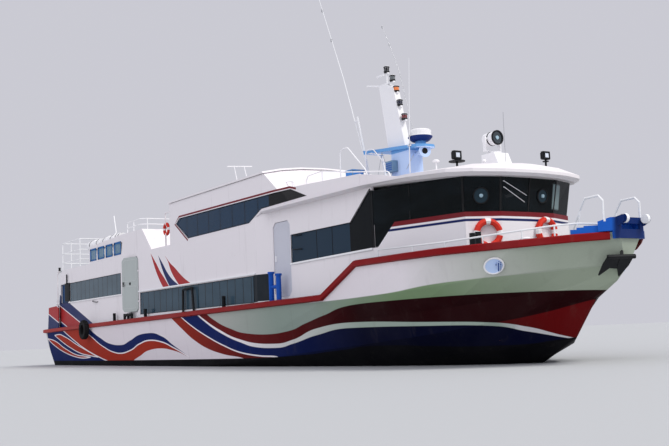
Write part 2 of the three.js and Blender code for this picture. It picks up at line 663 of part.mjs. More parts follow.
// Upper deck plate, from the aft bulkhead to the step under the bridge roof
const STEP_X = 4080;

function upperDeck() {
  const y = HOUSE_Y - WALL - GAP;
  const riserY = FORE_Y - WALL - 40;
  const plate = planPanel([[HOUSE_AFT_X - 100, -y], [HOUSE_BEND_X, -y], [STEP_X, -riserY], [STEP_X, riserY],
    [HOUSE_BEND_X, y], [HOUSE_AFT_X - 100, y]], UPPER_DECK_Z - DECK_PLATE, UPPER_DECK_Z);
  return plate.add(box(STEP_X - 40, STEP_X, -riserY, riserY, UPPER_DECK_Z - 10, EAVE_Z - 60));
}

// Passenger seats on their floor plate, one block on each side of the aisle
const SEAT_PITCH = 900;
// Columns: first row, number of rows
const SEAT_BLOCKS = [[-13900, 7], [-4700, 9]];

function saloonSeats(side) {
  const [floorFrom, floorTo] = [-14300, 3300];
  const at = (x, rise) => deckZ(x) + rise;
  const pieces = [sidePanel([
    [floorFrom, at(floorFrom, GAP)], [floorTo, at(floorTo, GAP)],
    [floorTo, at(floorTo, 30)], [floorFrom, at(floorFrom, 30)],
  ], 440 * side, 2300 * side)];
  SEAT_BLOCKS.forEach(([first, count]) => {
    for (let i = 0; i < count; i += 1) {
      const x = first + i * SEAT_PITCH;
      const foot = at(x, 20);
      pieces.push(sidePanel([
        [x, foot], [x + 420, foot], [x + 480, foot + 400], [x + 110, foot + 400],
        [x - 60, foot + 1020], [x - 170, foot + 1000], [x - 20, foot + 300],
      ], 450 * side, 2250 * side));
    }
  });
  return joined(pieces);
}

// Upper cabin: side walls with the fairing that runs on to the bridge roof
const UPPER_AFT_X = -2670;
const UPPER_EDGE_Z = 5720;
const UPPER_FRONT_TOP_X = 4210;
const UPPER_FRONT_FOOT_X = 5020;
const UPPER_FRONT_FOOT_Z = 5110;
const UPPER_PANE = [
  [-2100, 4934], [-1150, 4340], [3220, 4350], [4030, 4690], [6600, 4720], [5750, 5020], [4830, 5044],
  [-1820, 5095],
];

function upperSide(side, roofShape) {
  const [y0, y1] = [HOUSE_Y * side, (HOUSE_Y - WALL) * side];
  const outline = [
    [UPPER_AFT_X, UPPER_DECK_Z + GAP], ...BREAK_LINE.map(([x, z]) => [x, z + GAP]), [9200, EAVE_Z + GAP],
    [9200, 4920], [UPPER_FRONT_FOOT_X, UPPER_FRONT_FOOT_Z], [UPPER_FRONT_TOP_X, UPPER_EDGE_Z],
    [UPPER_AFT_X, UPPER_EDGE_Z],
  ];
  let wall = sidePanel(outline, y0, y1);
  [0, -4].forEach((step) => {
    wall = wall.subtract(moved(roofShape, new THREE.Matrix4().makeTranslation(step, 0, GAP)));
  });
  const [low, high] = [Math.min(y0, y1) - 50, Math.max(y0, y1) + 50];
  return wall.subtract(sidePanel(UPPER_PANE, low, high));
}

// Cambered roof of the upper cabin. Columns: y, rise above the roof edge
const UPPER_CAMBER = [[2500, 0], [1700, 175], [900, 275], [0, 310]];

function camberOutline(table, edgeZ, thick) {
  const port = table.map(([y, rise]) => [y, edgeZ + rise]);
  const starboard = port.slice(0, -1).reverse().map(([y, z]) => [-y, z]);
  const top = [...port, ...starboard];
  const under = top.map(([y, z]) => [y, z - thick]).reverse();
  return [...top, ...under];
}

// Rake of the cabin's front: its line in side view, set a distance ahead of the side walls' edges
function frontLine(ahead, z) {
  const [[xa, za], [xb, zb]] = [[UPPER_FRONT_TOP_X, UPPER_EDGE_Z], [UPPER_FRONT_FOOT_X, UPPER_FRONT_FOOT_Z]];
  return [xa + ((xb - xa) * (z - za)) / (zb - za) + ahead, z];
}

function upperRoof() {
  const outline = camberOutline(UPPER_CAMBER, UPPER_EDGE_Z + 60 + GAP, 60);
  const ahead = sidePanel([frontLine(70, 5000), [9000, 5000], [9000, 7000], frontLine(70, 7000)],
    -BEAM_HALF, BEAM_HALF);
  return crossPanel(outline, UPPER_AFT_X - 40, UPPER_FRONT_TOP_X + 200).subtract(ahead);
}

// Raked front of the upper cabin, between its side walls and down to the bridge roof
function upperFront(roofShape) {
  const y = HOUSE_Y - WALL - GAP;
  const panel = sidePanel(
    [frontLine(-90, 4560), frontLine(0, 4560), frontLine(0, 6500), frontLine(-90, 6500)], -y, y,
  );
  const under = crossPanel([...camberOutline(UPPER_CAMBER, UPPER_EDGE_Z, 2000)], 3000, 7000);
  return onRoof(panel.intersect(under), roofShape);
}

const CABIN_DOOR = [-420, 420, 4380, 5680];
// Open frame that stands abaft each end of the aft wall. Columns: x0, x1, z0, z1
const WALKWAY_FRAME = [
  [-3230, -3190, UPPER_DECK_Z + GAP, 5480], [-3230, UPPER_AFT_X + 10, 5440, 5480],
  [-3230, UPPER_AFT_X + 10, 4900, 4930],
];
const FRAME_Y = [2350, 2388];

function upperAftWall() {
  const y = HOUSE_Y - WALL - GAP;
  const wall = crossPanel(rectangle(-y, y, UPPER_DECK_Z + GAP, 7000), UPPER_AFT_X, UPPER_AFT_X + WALL);
  const under = crossPanel(camberOutline(UPPER_CAMBER, UPPER_EDGE_Z, 2000), -4000, 0);
  const opening = crossPanel(doorOutline(...CABIN_DOOR, DOOR_CORNER), UPPER_AFT_X - 50, UPPER_AFT_X + 150);
  const frames = SIDES.flatMap(([, side]) => WALKWAY_FRAME.map(([x0, x1, z0, z1]) => sidePanel(
    rectangle(x0, x1, z0, z1), FRAME_Y[0] * side, FRAME_Y[1] * side,
  )));
  const framed = joined([wall.intersect(under).subtract(opening), ...frames]);
  return withHinges(framed, crossHinge(CABIN_DOOR, UPPER_AFT_X, -1), 'frame');
}

// Bridge: plan of its outer face at the sill. Columns: x, half breadth
const BRIDGE_PLAN = [[BRIDGE_X, 2300], [12330, 1690], [12660, 860], [12700, 0]];
const GLASS_RAKE = 150;
const HEAD_Z = 4400;
const RAKE_FACTOR = [0.15, 0.75, 1, 1];

function offsetPlan(inward, forward) {
  return BRIDGE_PLAN.map(([x, y], i) => {
    const scale = RAKE_FACTOR[i];
    const outX = x - (i === 0 ? 0 : inward) + forward * scale;
    const outY = y - (i === 3 ? 0 : inward) + forward * scale * (y / 2300);
    return [outX, Math.max(0, outY)];
  });
}

// A wall that follows the plan of the bridge, given its outline at the foot and at the head
function bridgeBand(inwardOuter, thick, z0, z1, lean0, lean1) {
  const rows = [[inwardOuter, z0, lean0], [inwardOuter, z1, lean1], [inwardOuter + thick, z1, lean1],
    [inwardOuter + thick, z0, lean0]];
  const rings = [];
  const plans = rows.map(([inward, z, lean]) => offsetPlan(inward, lean).map(([x, y]) => [x, y, z]));
  const last = BRIDGE_PLAN.length - 1;
  for (let i = 0; i <= last; i += 1) rings.push(plans.map((plan) => [plan[i][0], -plan[i][1], plan[i][2]]));
  for (let i = last - 1; i >= 0; i -= 1) rings.push(plans.map((plan) => plan[i]));
  return ribbon(rings);
}

function bridgePanel(roofShape) {
  let panel = bridgeBand(0, WALL, FORE_DECK_Z + GAP, SILL_Z, 0, 0);
  const cut = box(BRIDGE_X - 200, BRIDGE_X + GAP, -3000, 3000, 0, 9000);
  panel = panel.subtract(cut);
  SIDES.forEach(([, side]) => {
    panel = panel.subtract(sidePanel([[9400, 3000], [9640, 3000], [10250, SILL_Z + 50], [9400, SILL_Z + 50]],
      1500 * side, 2600 * side));
  });
  return panel.subtract(moved(roofShape, new THREE.Matrix4().makeTranslation(0, 0, -GAP)));
}

function bridgeGlass(roofShape) {
  let glass = bridgeBand(22, GLASS, SILL_Z + GAP, HEAD_Z + 40, 0, GLASS_RAKE);
  SIDES.forEach(([, side]) => {
    const wedge = bridgeBand(22, GLASS, 3000, SILL_Z + 5, 0, 0).intersect(
      sidePanel([[9520, 3010], [9630, 3010], [10180, SILL_Z + 5], [9520, SILL_Z + 5]],
        1500 * side, 2600 * side),
    );
    glass = glass.add(wedge);
  });
  glass = glass.subtract(box(BRIDGE_X - 300, BRIDGE_X + 1, -3000, 3000, 0, 9000));
  const under = moved(roofShape, new THREE.Matrix4().makeTranslation(0, 0, -GAP));
  return glass.subtract(under).subtract(box(9000, 14000, -3000, 3000, EAVE_Z, 9000));
}

function bridgeConsole() {
  const floor = box(10100, 12150, -1150, 1150, FORE_DECK_Z + GAP, FORE_DECK_Z + 30);
  const desk = sidePanel([[11600, 2700], [12100, 2700], [12250, 3300], [11950, 3560], [11600, 3450]],
    -1200, 1200);
  const screens = [-300, 300].map((y) => box(11680, 11900, y - 200, y + 200, 3440, 3700));
  const pieces = [floor, desk, ...screens];
  [-520, 520].forEach((y) => {
    pieces.push(rod([10900, y, 2700], [10900, y, 3150], 60, 8));
    pieces.push(sidePanel([[10680, 3120], [11180, 3120], [11180, 3220], [10780, 3230], [10700, 3880],
      [10600, 3880]], y - 240, y + 240));
  });
  return joined(pieces);
}

// Roof of the forward house and its brow round the bridge.
// Columns: x, half breadth, edge top, edge bottom, centre height
const BROW_TABLE = [
  [ROOF_AFT_X, 2600, 4600, EAVE_UNDER_Z, 4740], [6000, 2600, 4600, EAVE_UNDER_Z, 4780],
  [9500, 2600, 4600, EAVE_UNDER_Z, 4830],
  [11250, 2490, 4590, 4445, 4830], [12300, 2200, 4560, 4400, 4790], [12750, 1750, 4535, 4380, 4740],
  [13050, 1000, 4515, 4370, 4660], [13180, 150, 4505, 4365, 4560],
];

function bridgeRoof() {
  return mirroredLoft(BROW_TABLE.map(([x, y, top, bottom, centre]) => [
    [x - 60, y - 130, bottom], [x, y, (top + bottom) / 2], [x, y, top],
    [x - 20, y * 0.6, top + (centre - top) * 0.75], [x - 20, y * 0.1, centre],
  ]));
}

// Stern bulwark round the aft deck, open at the middle of the transom
function sternBulwark(side) {
  const foot = deckZ(-16200) + 2 * GAP;
  const y = 2600 * side;
  const wing = sidePanel([[-16300, deckZ(-16300) + GAP], [-14780, deckZ(-14780) + GAP], [-14780, 2680],
    [-16150, 2640]], y, y - 40 * side);
  const stern = crossPanel(
    [[y - 20 * side, foot], [900 * side, foot], [900 * side, 2620], [y - 20 * side, 2620]], -16240, -16200,
  );
  return side < 0 ? joined([wing, stern, flagPole()]) : wing.add(stern);
}

// Flag pole with its stern light, on a bracket inside the starboard bulwark
function flagPole() {
  const [x, y] = [-15600, -2350];
  return joined([
    rod([x, y, deckZ(x) + GAP], [x, y, 4200], 26, 8),
    rod([x, y, 4150], [-15300, y, 4230], 22, 6),
    box(-15420, -15180, y - 90, y + 90, 4225, 4265),
    box(x - 20, x + 20, -2570, y, 2400, 2440),
  ]);
}

// Shelter on the upper deck: raked front, roof and sides, open aft, with slit windows in its wings
const SHELTER_Y = 2400;
const SHELTER_FOOT = UPPER_DECK_Z + GAP;

function shelter() {
  const pieces = [];
  SIDES.forEach(([, side]) => {
    const y = SHELTER_Y * side;
    let wing = sidePanel([[-11150, SHELTER_FOOT], [-4450, SHELTER_FOOT], [-5330, 5130], [-7350, 5130],
      [-11150, 4990]], y, y - WALL * side);
    for (let i = 0; i < 4; i += 1) {
      const x = -11000 + i * 930;
      wing = wing.subtract(sidePanel([[x, 4400], [x + 780, 4400], [x + 850, 4830], [x + 70, 4830]],
        y + 50 * side, y - 150 * side));
    }
    pieces.push(wing);
  });
  pieces.push(sidePanel([[-4530, SHELTER_FOOT], [-4450, SHELTER_FOOT], [-5330, 5130], [-5410, 5130]],
    -SHELTER_Y, SHELTER_Y));
  pieces.push(box(-7350, -5350, -SHELTER_Y, SHELTER_Y, 5080, 5130));
  return joined(pieces);
}

function upperBenches() {
  const pieces = [box(-11900, -7600, -2050, 2050, UPPER_DECK_Z + GAP, UPPER_DECK_Z + 15)];
  for (let i = 0; i < 5; i += 1) {
    const x = -11600 + i * 880;
    const foot = UPPER_DECK_Z + 10;
    SIDES.forEach(([, side]) => {
      const [y0, y1] = [Math.min(350 * side, 1820 * side), Math.max(350 * side, 1820 * side)];
      pieces.push(sidePanel([[x, foot], [x + 380, foot], [x + 430, foot + 380], [x + 120, foot + 380],
        [x - 20, foot + 800], [x - 90, foot + 790], [x - 10, foot + 300]], y0, y1));
    });
  }
  return joined(pieces);
}

// Life rafts in canisters on a cradle inside each shelter wing. Columns: x of the aft end, length
const RAFTS = [[-11670, 1500], [-10060, 1500], [-8450, 500]];
const RAFT_Y = 2120;
const RAFT_Z = 5075;
const RAFT_R = 205;

function lifeRafts(side) {
  const y = RAFT_Y * side;
  const pieces = [box(-11620, -8000, y - 100, y + 100, 4850, 4885)];
  RAFTS.forEach(([x, length]) => {
    pieces.push(rod([x, y, RAFT_Z], [x + length, y, RAFT_Z], RAFT_R, 14));
    const middle = x + length / 2;
    [middle - 130, middle + 90].forEach((chockX) => {
      pieces.push(box(chockX, chockX + 40, y - 170, y + 170, 4860, 4980));
    });
    pieces.push(rod([middle, y, UPPER_DECK_Z + GAP], [middle, y, 4860], 30, 8));
  });
  return joined(pieces);
}

// Railing round the aft end of the upper deck, closed across the deck at both ends
const RAIL_TIERS = [4600, 5030, 5500];
const RAILING = [-14880, -12520, 2330];

function upperRailing() {
  const [aftX, foreX, halfY] = RAILING;
  const path = [[foreX, -halfY], [aftX, -halfY], [aftX, halfY], [foreX, halfY]];
  const pieces = RAIL_TIERS.flatMap((z) => [
    pipe(path.map(([x, y]) => [x, y, z]), 20), rod([foreX, -halfY, z], [foreX, halfY, z], 20, 6),
  ]);
  const posts = [foreX, (foreX + aftX) / 2, aftX].flatMap((x) => [[x, -halfY], [x, halfY]]);
  [foreX, aftX].forEach((x) => posts.push([x, -780], [x, 780]));
  posts.forEach(([x, y]) => pieces.push(rod([x, y, UPPER_DECK_Z + GAP], [x, y, RAIL_TIERS[2]], 20, 6)));
  return joined(pieces);
}

// A piece cut off where it would enter the bridge roof
function onRoof(shape, roofShape) {
  return shape.subtract(moved(roofShape, new THREE.Matrix4().makeTranslation(0, 0, GAP)));
}

// Tower behind the bridge. Its platform falls forward a little and rests on two raked poles abaft
// the tower. It carries the scanner's pedestal, the horn and two whip aerials.
const RADOME_X = 8700;
const RADOME_FOOT_Z = 6030;
const POLE_Y = 300;
const POLE_FOOT = [6795, 4690];
const POLE_HEAD = [6170, 7217];

function mastTower(roofShape) {
  const platform = sidePanel([[6430, 6135], [9080, 5897], [9080, 5807], [6430, 6045]], -320, 320);
  const corners = SIDES.map(([, side]) => planPanel(
    [[8900, 330 * side], [9100, 330 * side], [9100, 130 * side]], 5700, 6200,
  ));
  const pieces = [
    corners.reduce((plate, corner) => plate.subtract(corner), platform),
    sidePanel([[7590, 4700], [8490, 4700], [8460, 5930], [7660, 6010]], -230, 230),
    rod([RADOME_X, 0, 5880], [RADOME_X, 0, RADOME_FOOT_Z], 150, 12),
    rod([8400, 0, 5715], [8620, -12, 5715], 50, 8),
    rod([8600, -10, 5715], [8980, -90, 5715], 55, 12, 165),
    rod([POLE_FOOT[0], -POLE_Y, POLE_FOOT[1]], [POLE_HEAD[0], -POLE_Y, POLE_HEAD[1]], 30, 8, 26),
    rod([POLE_FOOT[0], POLE_Y, POLE_FOOT[1]], [6455, POLE_Y, 6065], 30, 8),
    rod([6500, -325, 5860], [6020, -330, 7240], 17, 6, 14),
    box(6050, 6220, -345, -285, 7085, 7115),
    rod([6023, -330, 7230], [5550, -330, 8570], 14, 6, 11),
    rod([5553, -330, 8560], [4373, -330, 11420], 11, 6, 7),
    box(8600, 8720, -378, -310, 5885, 5915),
    rod([8633, -361, 5150], [8660, -361, 5850], 18, 6),
    rod([8660, -361, 5840], [8838, -362, 8311], 12, 6, 7),
  ];
  return onRoof(joined(pieces), roofShape);
}

// Raked mast plate with its lamp brackets. Columns: x, z, lamp radius, lamp height
const LAMPS = [[7310, 8300, 75, 200], [7570, 7990, 75, 190], [7720, 7640, 80, 190], [7860, 7210, 75, 190],
  [8040, 6770, 75, 190]];

function mast(towerShape) {
  const plate = sidePanel(
    [[7356, 6010], [8145, 5940], [7790, 7450], [7717, 7763], [7348, 7975], [7028, 7975]], -100, 100,
  );
  const pieces = [plate, rod([7080, 0, 7960], [6305, 0, 8138], 18, 6)];
  LAMPS.forEach(([x, z, radius, height]) => {
    pieces.push(rod([x, 0, z], [x, 0, z + height], radius, 10));
    pieces.push(box(x - 480, x + 80, -30, 30, z - 35, z + 5));
  });
  pieces.push(rod([7310, 0, 7950], [7310, 0, 8310], 25, 6));
  return joined(pieces).subtract(moved(towerShape, new THREE.Matrix4().makeTranslation(0, 0, GAP)));
}

// Scanner housing. Columns: radius, height above its foot
const RADOME_PROFILE = [[0, GAP], [230, GAP], [260, 20], [335, 100], [340, 130], [305, 155], [305, 290],
  [270, 318], [0, 330]];

function radome() {
  const geometry = new THREE.LatheGeometry(RADOME_PROFILE.map(([r, z]) => new THREE.Vector2(r, z)), 20);
  geometry.rotateX(Math.PI / 2);
  geometry.translate(RADOME_X, 0, RADOME_FOOT_Z);
  return solid(geometry);
}

// Searchlight: pedestal on the roof, a yoke that turns and a lamp that tips
const LIGHT_X = 11550;
const LIGHT_Z = 5560;
const YOKE_Z = 5180;

function lightPedestal(roofShape) {
  const block = sidePanel([[11370, 4700], [12060, 4700], [11860, YOKE_Z - 20], [11400, YOKE_Z - 20]],
    -235, 235);
  return onRoof(block.add(rod([LIGHT_X, 0, YOKE_Z - 40], [LIGHT_X, 0, YOKE_Z], 120, 12)), roofShape);
}

function lightYoke() {
  const pieces = [rod([LIGHT_X, 0, YOKE_Z + GAP], [LIGHT_X, 0, YOKE_Z + 60], 110, 12),
    box(LIGHT_X - 50, LIGHT_X + 50, -260, 260, YOKE_Z + 50, YOKE_Z + 75)];
  [-260, 232].forEach((y) => {
    pieces.push(box(LIGHT_X - 50, LIGHT_X + 50, y, y + 28, YOKE_Z + 60, LIGHT_Z + 60));
  });
  return joined(pieces);
}

function lightHead() {
  const drum = rod([LIGHT_X - 185, 0, LIGHT_Z], [LIGHT_X + 190, 0, LIGHT_Z], 165, 20, 172);
  return drum.add(rod([LIGHT_X, -232 + GAP, LIGHT_Z], [LIGHT_X, 232 - GAP, LIGHT_Z], 30, 8));
}

// Flood lights on the bridge roof, the port one on a taller foot. Columns: height of the lamp's
// middle, radius of the disc under it
const FLOOD = { starboard: [4995, 200], port: [5172, 80] };

function floodLight(name, side, roofShape) {
  const [x, y] = [11900, 1480 * side];
  const [z, disc] = FLOOD[name];
  return onRoof(joined([
    rod([x, y, 4600], [x, y, z - 100], 26, 8),
    rod([x, y, z - 163], [x, y, z - 141], disc, 14),
    box(x - 45, x + 45, y - 110, y + 110, z - 105, z + 105),
  ]), roofShape);
}

// Life buoys: two on the bridge front and a smaller one on the starboard walkway frame, each flat
// against what carries it. Columns: name, ring radius, tube radius, point behind it, outward normal

// Point and normal on the bridge front, a share of the way along one face of its plan
function onBridgeFace(face, share, side, z) {
  const [[xa, ya], [xb, yb]] = [BRIDGE_PLAN[face], BRIDGE_PLAN[face + 1]];
  const normal = new THREE.Vector2(ya - yb, xb - xa).normalize();
  return [[xa + (xb - xa) * share, (ya + (yb - ya) * share) * side, z], [normal.x, normal.y * side, 0]];
}

const BUOYS = [
  ['life_buoy_fore_starboard', 285, 75, ...onBridgeFace(1, 0.58, -1, 3045)],
  ['life_buoy_fore_port', 285, 75, ...onBridgeFace(2, 0.44, 1, 3110)],
  ['life_buoy_aft', 190, 55, [-2960, -FRAME_Y[1], 4850], [0, -1, 0]],
];

function lifeBuoy(radius, tube, point, normal) {
  const centre = point.map((value, k) => value + normal[k] * (tube + GAP));
  return ring(centre, normal, radius, tube, 8, 20);
}

// Tyre hung flat against the rubbing rail
const TYRE_HALF = 100;
const TYRE_Z = 1490;

function tyreFender() {
  const section = [[210, -90], [370, -TYRE_HALF], [390, 0], [370, TYRE_HALF], [210, 90], [210, -90]];
  const tyre = new THREE.LatheGeometry(section.map(([r, z]) => new THREE.Vector2(r, z)), 24);
  tyre.translate(-10560, -(BEAM_HALF + RAIL_OUT + TYRE_HALF + GAP), TYRE_Z);
  return solid(tyre);
}

// The named meshes
const ferry = new THREE.Group();
ferry.name = 'passenger_ferry';

function place(name, shape, color, roughness = 0.5, metalness = 0.1) {
  const { vertProperties, triVerts } = shape.getMesh();
  const geometry = new THREE.BufferGeometry();
  geometry.setAttribute('position', new THREE.BufferAttribute(vertProperties, 3));
  geometry.setIndex(new THREE.BufferAttribute(triVerts, 1));
  geometry.computeVertexNormals();
  const mesh = new THREE.Mesh(geometry, new THREE.MeshStandardMaterial({ color, roughness, metalness }));
  mesh.name = name;
  ferry.add(mesh);
}

const WHITE = 0xe8e6ea;
const SLATE = 0x46555f;
const BLACK = 0x16181b;
const BLUE = 0x1f56b0;
const PALE_BLUE = 0x8fb4e0;
const RED = 0x96201f;
const STEEL = 0xb9bcc0;

const hullShape = hull();
const roofShape = bridgeRoof();
const towerShape = mastTower(roofShape);

place('hull', hullShape, 0x2b3f7c, 0.4);
place('rubbing_rail', rubbingRail(), RED, 0.55);
place('bow_platform', bowPlatform(hullShape), BLUE);
place('anchor', anchor(hullShape), BLACK, 0.7);
place('upper_deck', upperDeck(), WHITE);
place('aft_bulkhead', aftBulkhead(), WHITE);
place('aft_door', crossDoor(AFT_DOOR, HOUSE_AFT_X, 1), WHITE);
place('upper_roof', upperRoof(), WHITE);
place('upper_front', upperFront(roofShape), WHITE);
place('upper_aft_wall', upperAftWall(), WHITE);
place('upper_door', crossDoor(CABIN_DOOR, UPPER_AFT_X, -1), WHITE);
place('bridge_panel', bridgePanel(roofShape), WHITE);
place('bridge_glass', bridgeGlass(roofShape), BLACK, 0.08, 0.2);
place('bridge_console', bridgeConsole(), 0x4a4d52, 0.7);
place('bridge_roof', roofShape, WHITE);
place('shelter', shelter(), WHITE);
place('upper_benches', upperBenches(), BLUE, 0.6);
place('upper_railing', upperRailing(), WHITE);
place('mast_tower', towerShape, PALE_BLUE);
place('mast', mast(towerShape), WHITE);
place('radome', radome(), WHITE);
place('searchlight_pedestal', lightPedestal(roofShape), WHITE);
place('searchlight_yoke', lightYoke(), WHITE);
place('searchlight_head', lightHead(), WHITE);
place('tyre_fender', tyreFender(), BLACK, 0.9, 0);
BUOYS.forEach(([name, radius, tube, point, normal]) => {
  place(name, lifeBuoy(radius, tube, point, normal), 0xd8402c, 0.6, 0);
});
SIDES.forEach(([name, side]) => {
  place(`saloon_seats_${name}`, saloonSeats(side), 0x35507a, 0.8, 0);
  place(`side_wall_${name}`, sideWall(side), WHITE);
  place(`fore_wall_${name}`, foreWall(side, roofShape), WHITE);
  place(`upper_side_${name}`, upperSide(side, roofShape), WHITE);
  place(`aft_glass_${name}`, pane(rectangle(...AFT_BAND), side, HOUSE_Y), SLATE, 0.15, 0.2);
  place(`mid_glass_${name}`, pane(rectangle(...MID_BAND), side, HOUSE_Y), SLATE, 0.15, 0.2);
  place(`fore_glass_${name}`, pane(FORE_PANE, side, FORE_Y), SLATE, 0.12, 0.2);
  place(`upper_glass_${name}`, pane(UPPER_PANE, side, HOUSE_Y), SLATE, 0.15, 0.2);
  place(`side_door_${name}`, sideDoor(name, side), STEEL);
  place(`fore_door_${name}`, foreDoor(side), WHITE);
  place(`propeller_${name}`, propeller(side), 0xa8823c, 0.35, 0.8);
  place(`rudder_${name}`, rudder(side), 0x30333a, 0.6);
  place(`stern_bulwark_${name}`, sternBulwark(side), WHITE);
  place(`life_rafts_${name}`, lifeRafts(side), WHITE);
  place(`bow_rail_${name}`, bowRail(side, hullShape), WHITE);
  place(`flood_light_${name}`, floodLight(name, side, roofShape), BLACK);
});

export default ferry;
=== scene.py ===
import math
import bmesh
import bpy
from mathutils import Matrix, Vector


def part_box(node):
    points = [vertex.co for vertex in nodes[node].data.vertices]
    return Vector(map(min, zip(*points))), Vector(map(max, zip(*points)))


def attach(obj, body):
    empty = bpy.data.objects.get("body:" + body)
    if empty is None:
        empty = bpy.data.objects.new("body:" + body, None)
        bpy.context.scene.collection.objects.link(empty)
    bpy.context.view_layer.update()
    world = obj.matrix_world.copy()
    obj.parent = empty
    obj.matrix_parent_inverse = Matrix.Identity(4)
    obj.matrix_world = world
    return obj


# Passenger ferry afloat. Metres. +X is forward, +Y is port, +Z is up and z = 0 is the waterline.
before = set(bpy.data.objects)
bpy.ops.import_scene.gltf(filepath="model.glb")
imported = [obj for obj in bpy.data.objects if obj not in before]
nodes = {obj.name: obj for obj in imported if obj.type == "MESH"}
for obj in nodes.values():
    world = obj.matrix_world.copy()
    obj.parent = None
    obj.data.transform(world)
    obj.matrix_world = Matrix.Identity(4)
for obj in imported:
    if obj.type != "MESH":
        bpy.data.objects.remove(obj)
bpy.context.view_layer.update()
scene = bpy.context.scene
SIDES = [("starboard", -1), ("port", 1)]


# Hull: welded aluminium plate with a sprayed finish, decked over. Waves of red, blue and white are
# masked and painted over the pale topsides, above a black boot line; dull antifouling lies under the
# water. The paint's worn finish, made here first, is shared by every piece on board.
def add_node(tree, kind, **settings):
    """A new node with those settings."""
    node = tree.nodes.new(kind)
    for name, value in settings.items():
        setattr(node, name, value)
    return node


def feed(tree, socket, value):
    """Links a socket or sets a value, a colour without its alpha too."""
    if isinstance(value, bpy.types.NodeSocket):
        tree.links.new(value, socket)
    elif isinstance(value, (tuple, list)) and len(value) == 3 and socket.type == "RGBA":
        socket.default_value = (*value, 1)
    else:
        socket.default_value = value


def calc(tree, operation, *values, clamp=False):
    """The result of a Math node."""
    node = add_node(tree, "ShaderNodeMath", operation=operation, use_clamp=clamp)
    for socket, value in zip(node.inputs, values):
        feed(tree, socket, value)
    return node.outputs[0]


def mix(tree, mask, below, above):
    """Colour below where the mask is 0, colour above where it is 1."""
    node = add_node(tree, "ShaderNodeMix", data_type="RGBA")
    feed(tree, node.inputs[0], mask)
    feed(tree, node.inputs[6], below)
    feed(tree, node.inputs[7], above)
    return node.outputs[2]


def noise(tree, vector, scale, detail=3.0, roughness=0.55):
    """Soft noise from 0 to 1."""
    node = add_node(tree, "ShaderNodeTexNoise")
    feed(tree, node.inputs["Vector"], vector)
    node.inputs["Scale"].default_value = scale
    node.inputs["Detail"].default_value = detail
    node.inputs["Roughness"].default_value = roughness
    return node.outputs["Fac"]


def stretched(tree, vector, scale):
    """The place vector scaled along each axis, which draws a pattern out."""
    node = add_node(tree, "ShaderNodeMapping")
    feed(tree, node.inputs["Vector"], vector)
    node.inputs["Scale"].default_value = scale
    return node.outputs["Vector"]


def between(tree, value, low, high):
    """0 at low, 1 at high, clamped."""
    node = add_node(tree, "ShaderNodeMapRange", clamp=True)
    feed(tree, node.inputs["Value"], value)
    node.inputs["From Min"].default_value = low
    node.inputs["From Max"].default_value = high
    return node.outputs["Result"]


def bump(tree, height, strength, distance, normal=None):
    """The normal over a height in metres times the distance."""
    node = add_node(tree, "ShaderNodeBump")
    node.inputs["Strength"].default_value = strength
    node.inputs["Distance"].default_value = distance
    feed(tree, node.inputs["Height"], height)
    if normal is not None:
        feed(tree, node.inputs["Normal"], normal)
    return node.outputs["Normal"]


def new_group(name, inputs, outputs):
    """An empty shader group with its sockets: its tree, its input node and its output node."""
    tree = bpy.data.node_groups.new(name, "ShaderNodeTree")
    for in_out, sockets in (("INPUT", inputs), ("OUTPUT", outputs)):
        for label, kind, *value in sockets:
            socket = tree.interface.new_socket(label, in_out=in_out, socket_type=kind)
            if value:
                socket.default_value = value[0]
    return tree, add_node(tree, "NodeGroupInput"), add_node(tree, "NodeGroupOutput")


COLOR, VALUE, VECTOR = "NodeSocketColor", "NodeSocketFloat", "NodeSocketVector"


def object_place(tree):
    """Place on the object in metres, as a vector and as its X, Y and Z."""
    place = add_node(tree, "ShaderNodeTexCoord").outputs["Object"]
    parts = add_node(tree, "ShaderNodeSeparateXYZ")
    tree.links.new(place, parts.inputs[0])
    return place, parts.outputs


# Wear of all paint on board: fading, rain streaks, specks of rust and a slight ripple of the plate.
FADED, DIRT, RUST = (0.78, 0.77, 0.76), (0.11, 0.095, 0.08), (0.30, 0.10, 0.035)
weather, group_in, group_out = new_group(
    "weathered_surface",
    [("Color", COLOR), ("Fade", VALUE, 0.06), ("Grime", VALUE, 0.3), ("Rust", VALUE, 0.2),
     ("Gloss", VALUE, 0.4), ("Ripple", VALUE, 0.3)],
    [("Color", COLOR), ("Roughness", VALUE), ("Normal", VECTOR)])
place, _ = object_place(weather)
patches = noise(weather, place, 0.7, 4.0)
fine = noise(weather, place, 26.0, 4.0)
streak_noise = noise(weather, stretched(weather, place, (4.2, 4.2, 0.5)), 1.0, 4.0, 0.6)
streaks = calc(
    weather, "MULTIPLY", between(weather, streak_noise, 0.58, 0.95), group_in.outputs["Grime"])
spots = add_node(weather, "ShaderNodeTexVoronoi", feature="F1")
feed(weather, spots.inputs["Vector"], stretched(weather, place, (1.0, 1.0, 0.8)))
spots.inputs["Scale"].default_value = 3.2
speck_size = calc(weather, "MULTIPLY", between(weather, noise(weather, place, 1.3), 0.5, 0.8), 0.085)
speck = calc(weather, "LESS_THAN", spots.outputs["Distance"], speck_size)
rust = calc(weather, "MULTIPLY", speck, group_in.outputs["Rust"])
fade = calc(weather, "MULTIPLY", between(weather, patches, 0.42, 0.75), group_in.outputs["Fade"])
dirty = mix(weather, streaks, mix(weather, fade, group_in.outputs["Color"], FADED), DIRT)
feed(weather, group_out.inputs["Color"], mix(weather, rust, dirty, RUST))
dulled = calc(weather, "MULTIPLY_ADD", streaks, 0.3, group_in.outputs["Gloss"])
feed(weather, group_out.inputs["Roughness"], calc(weather, "MULTIPLY_ADD", fine, 0.16, dulled))
ripple = bump(weather, noise(weather, place, 1.15, 1.0), 0.30, 0.03)
scaled = add_node(weather, "ShaderNodeBump")
feed(weather, scaled.inputs["Strength"], group_in.outputs["Ripple"])
scaled.inputs["Distance"].default_value = 0.0012
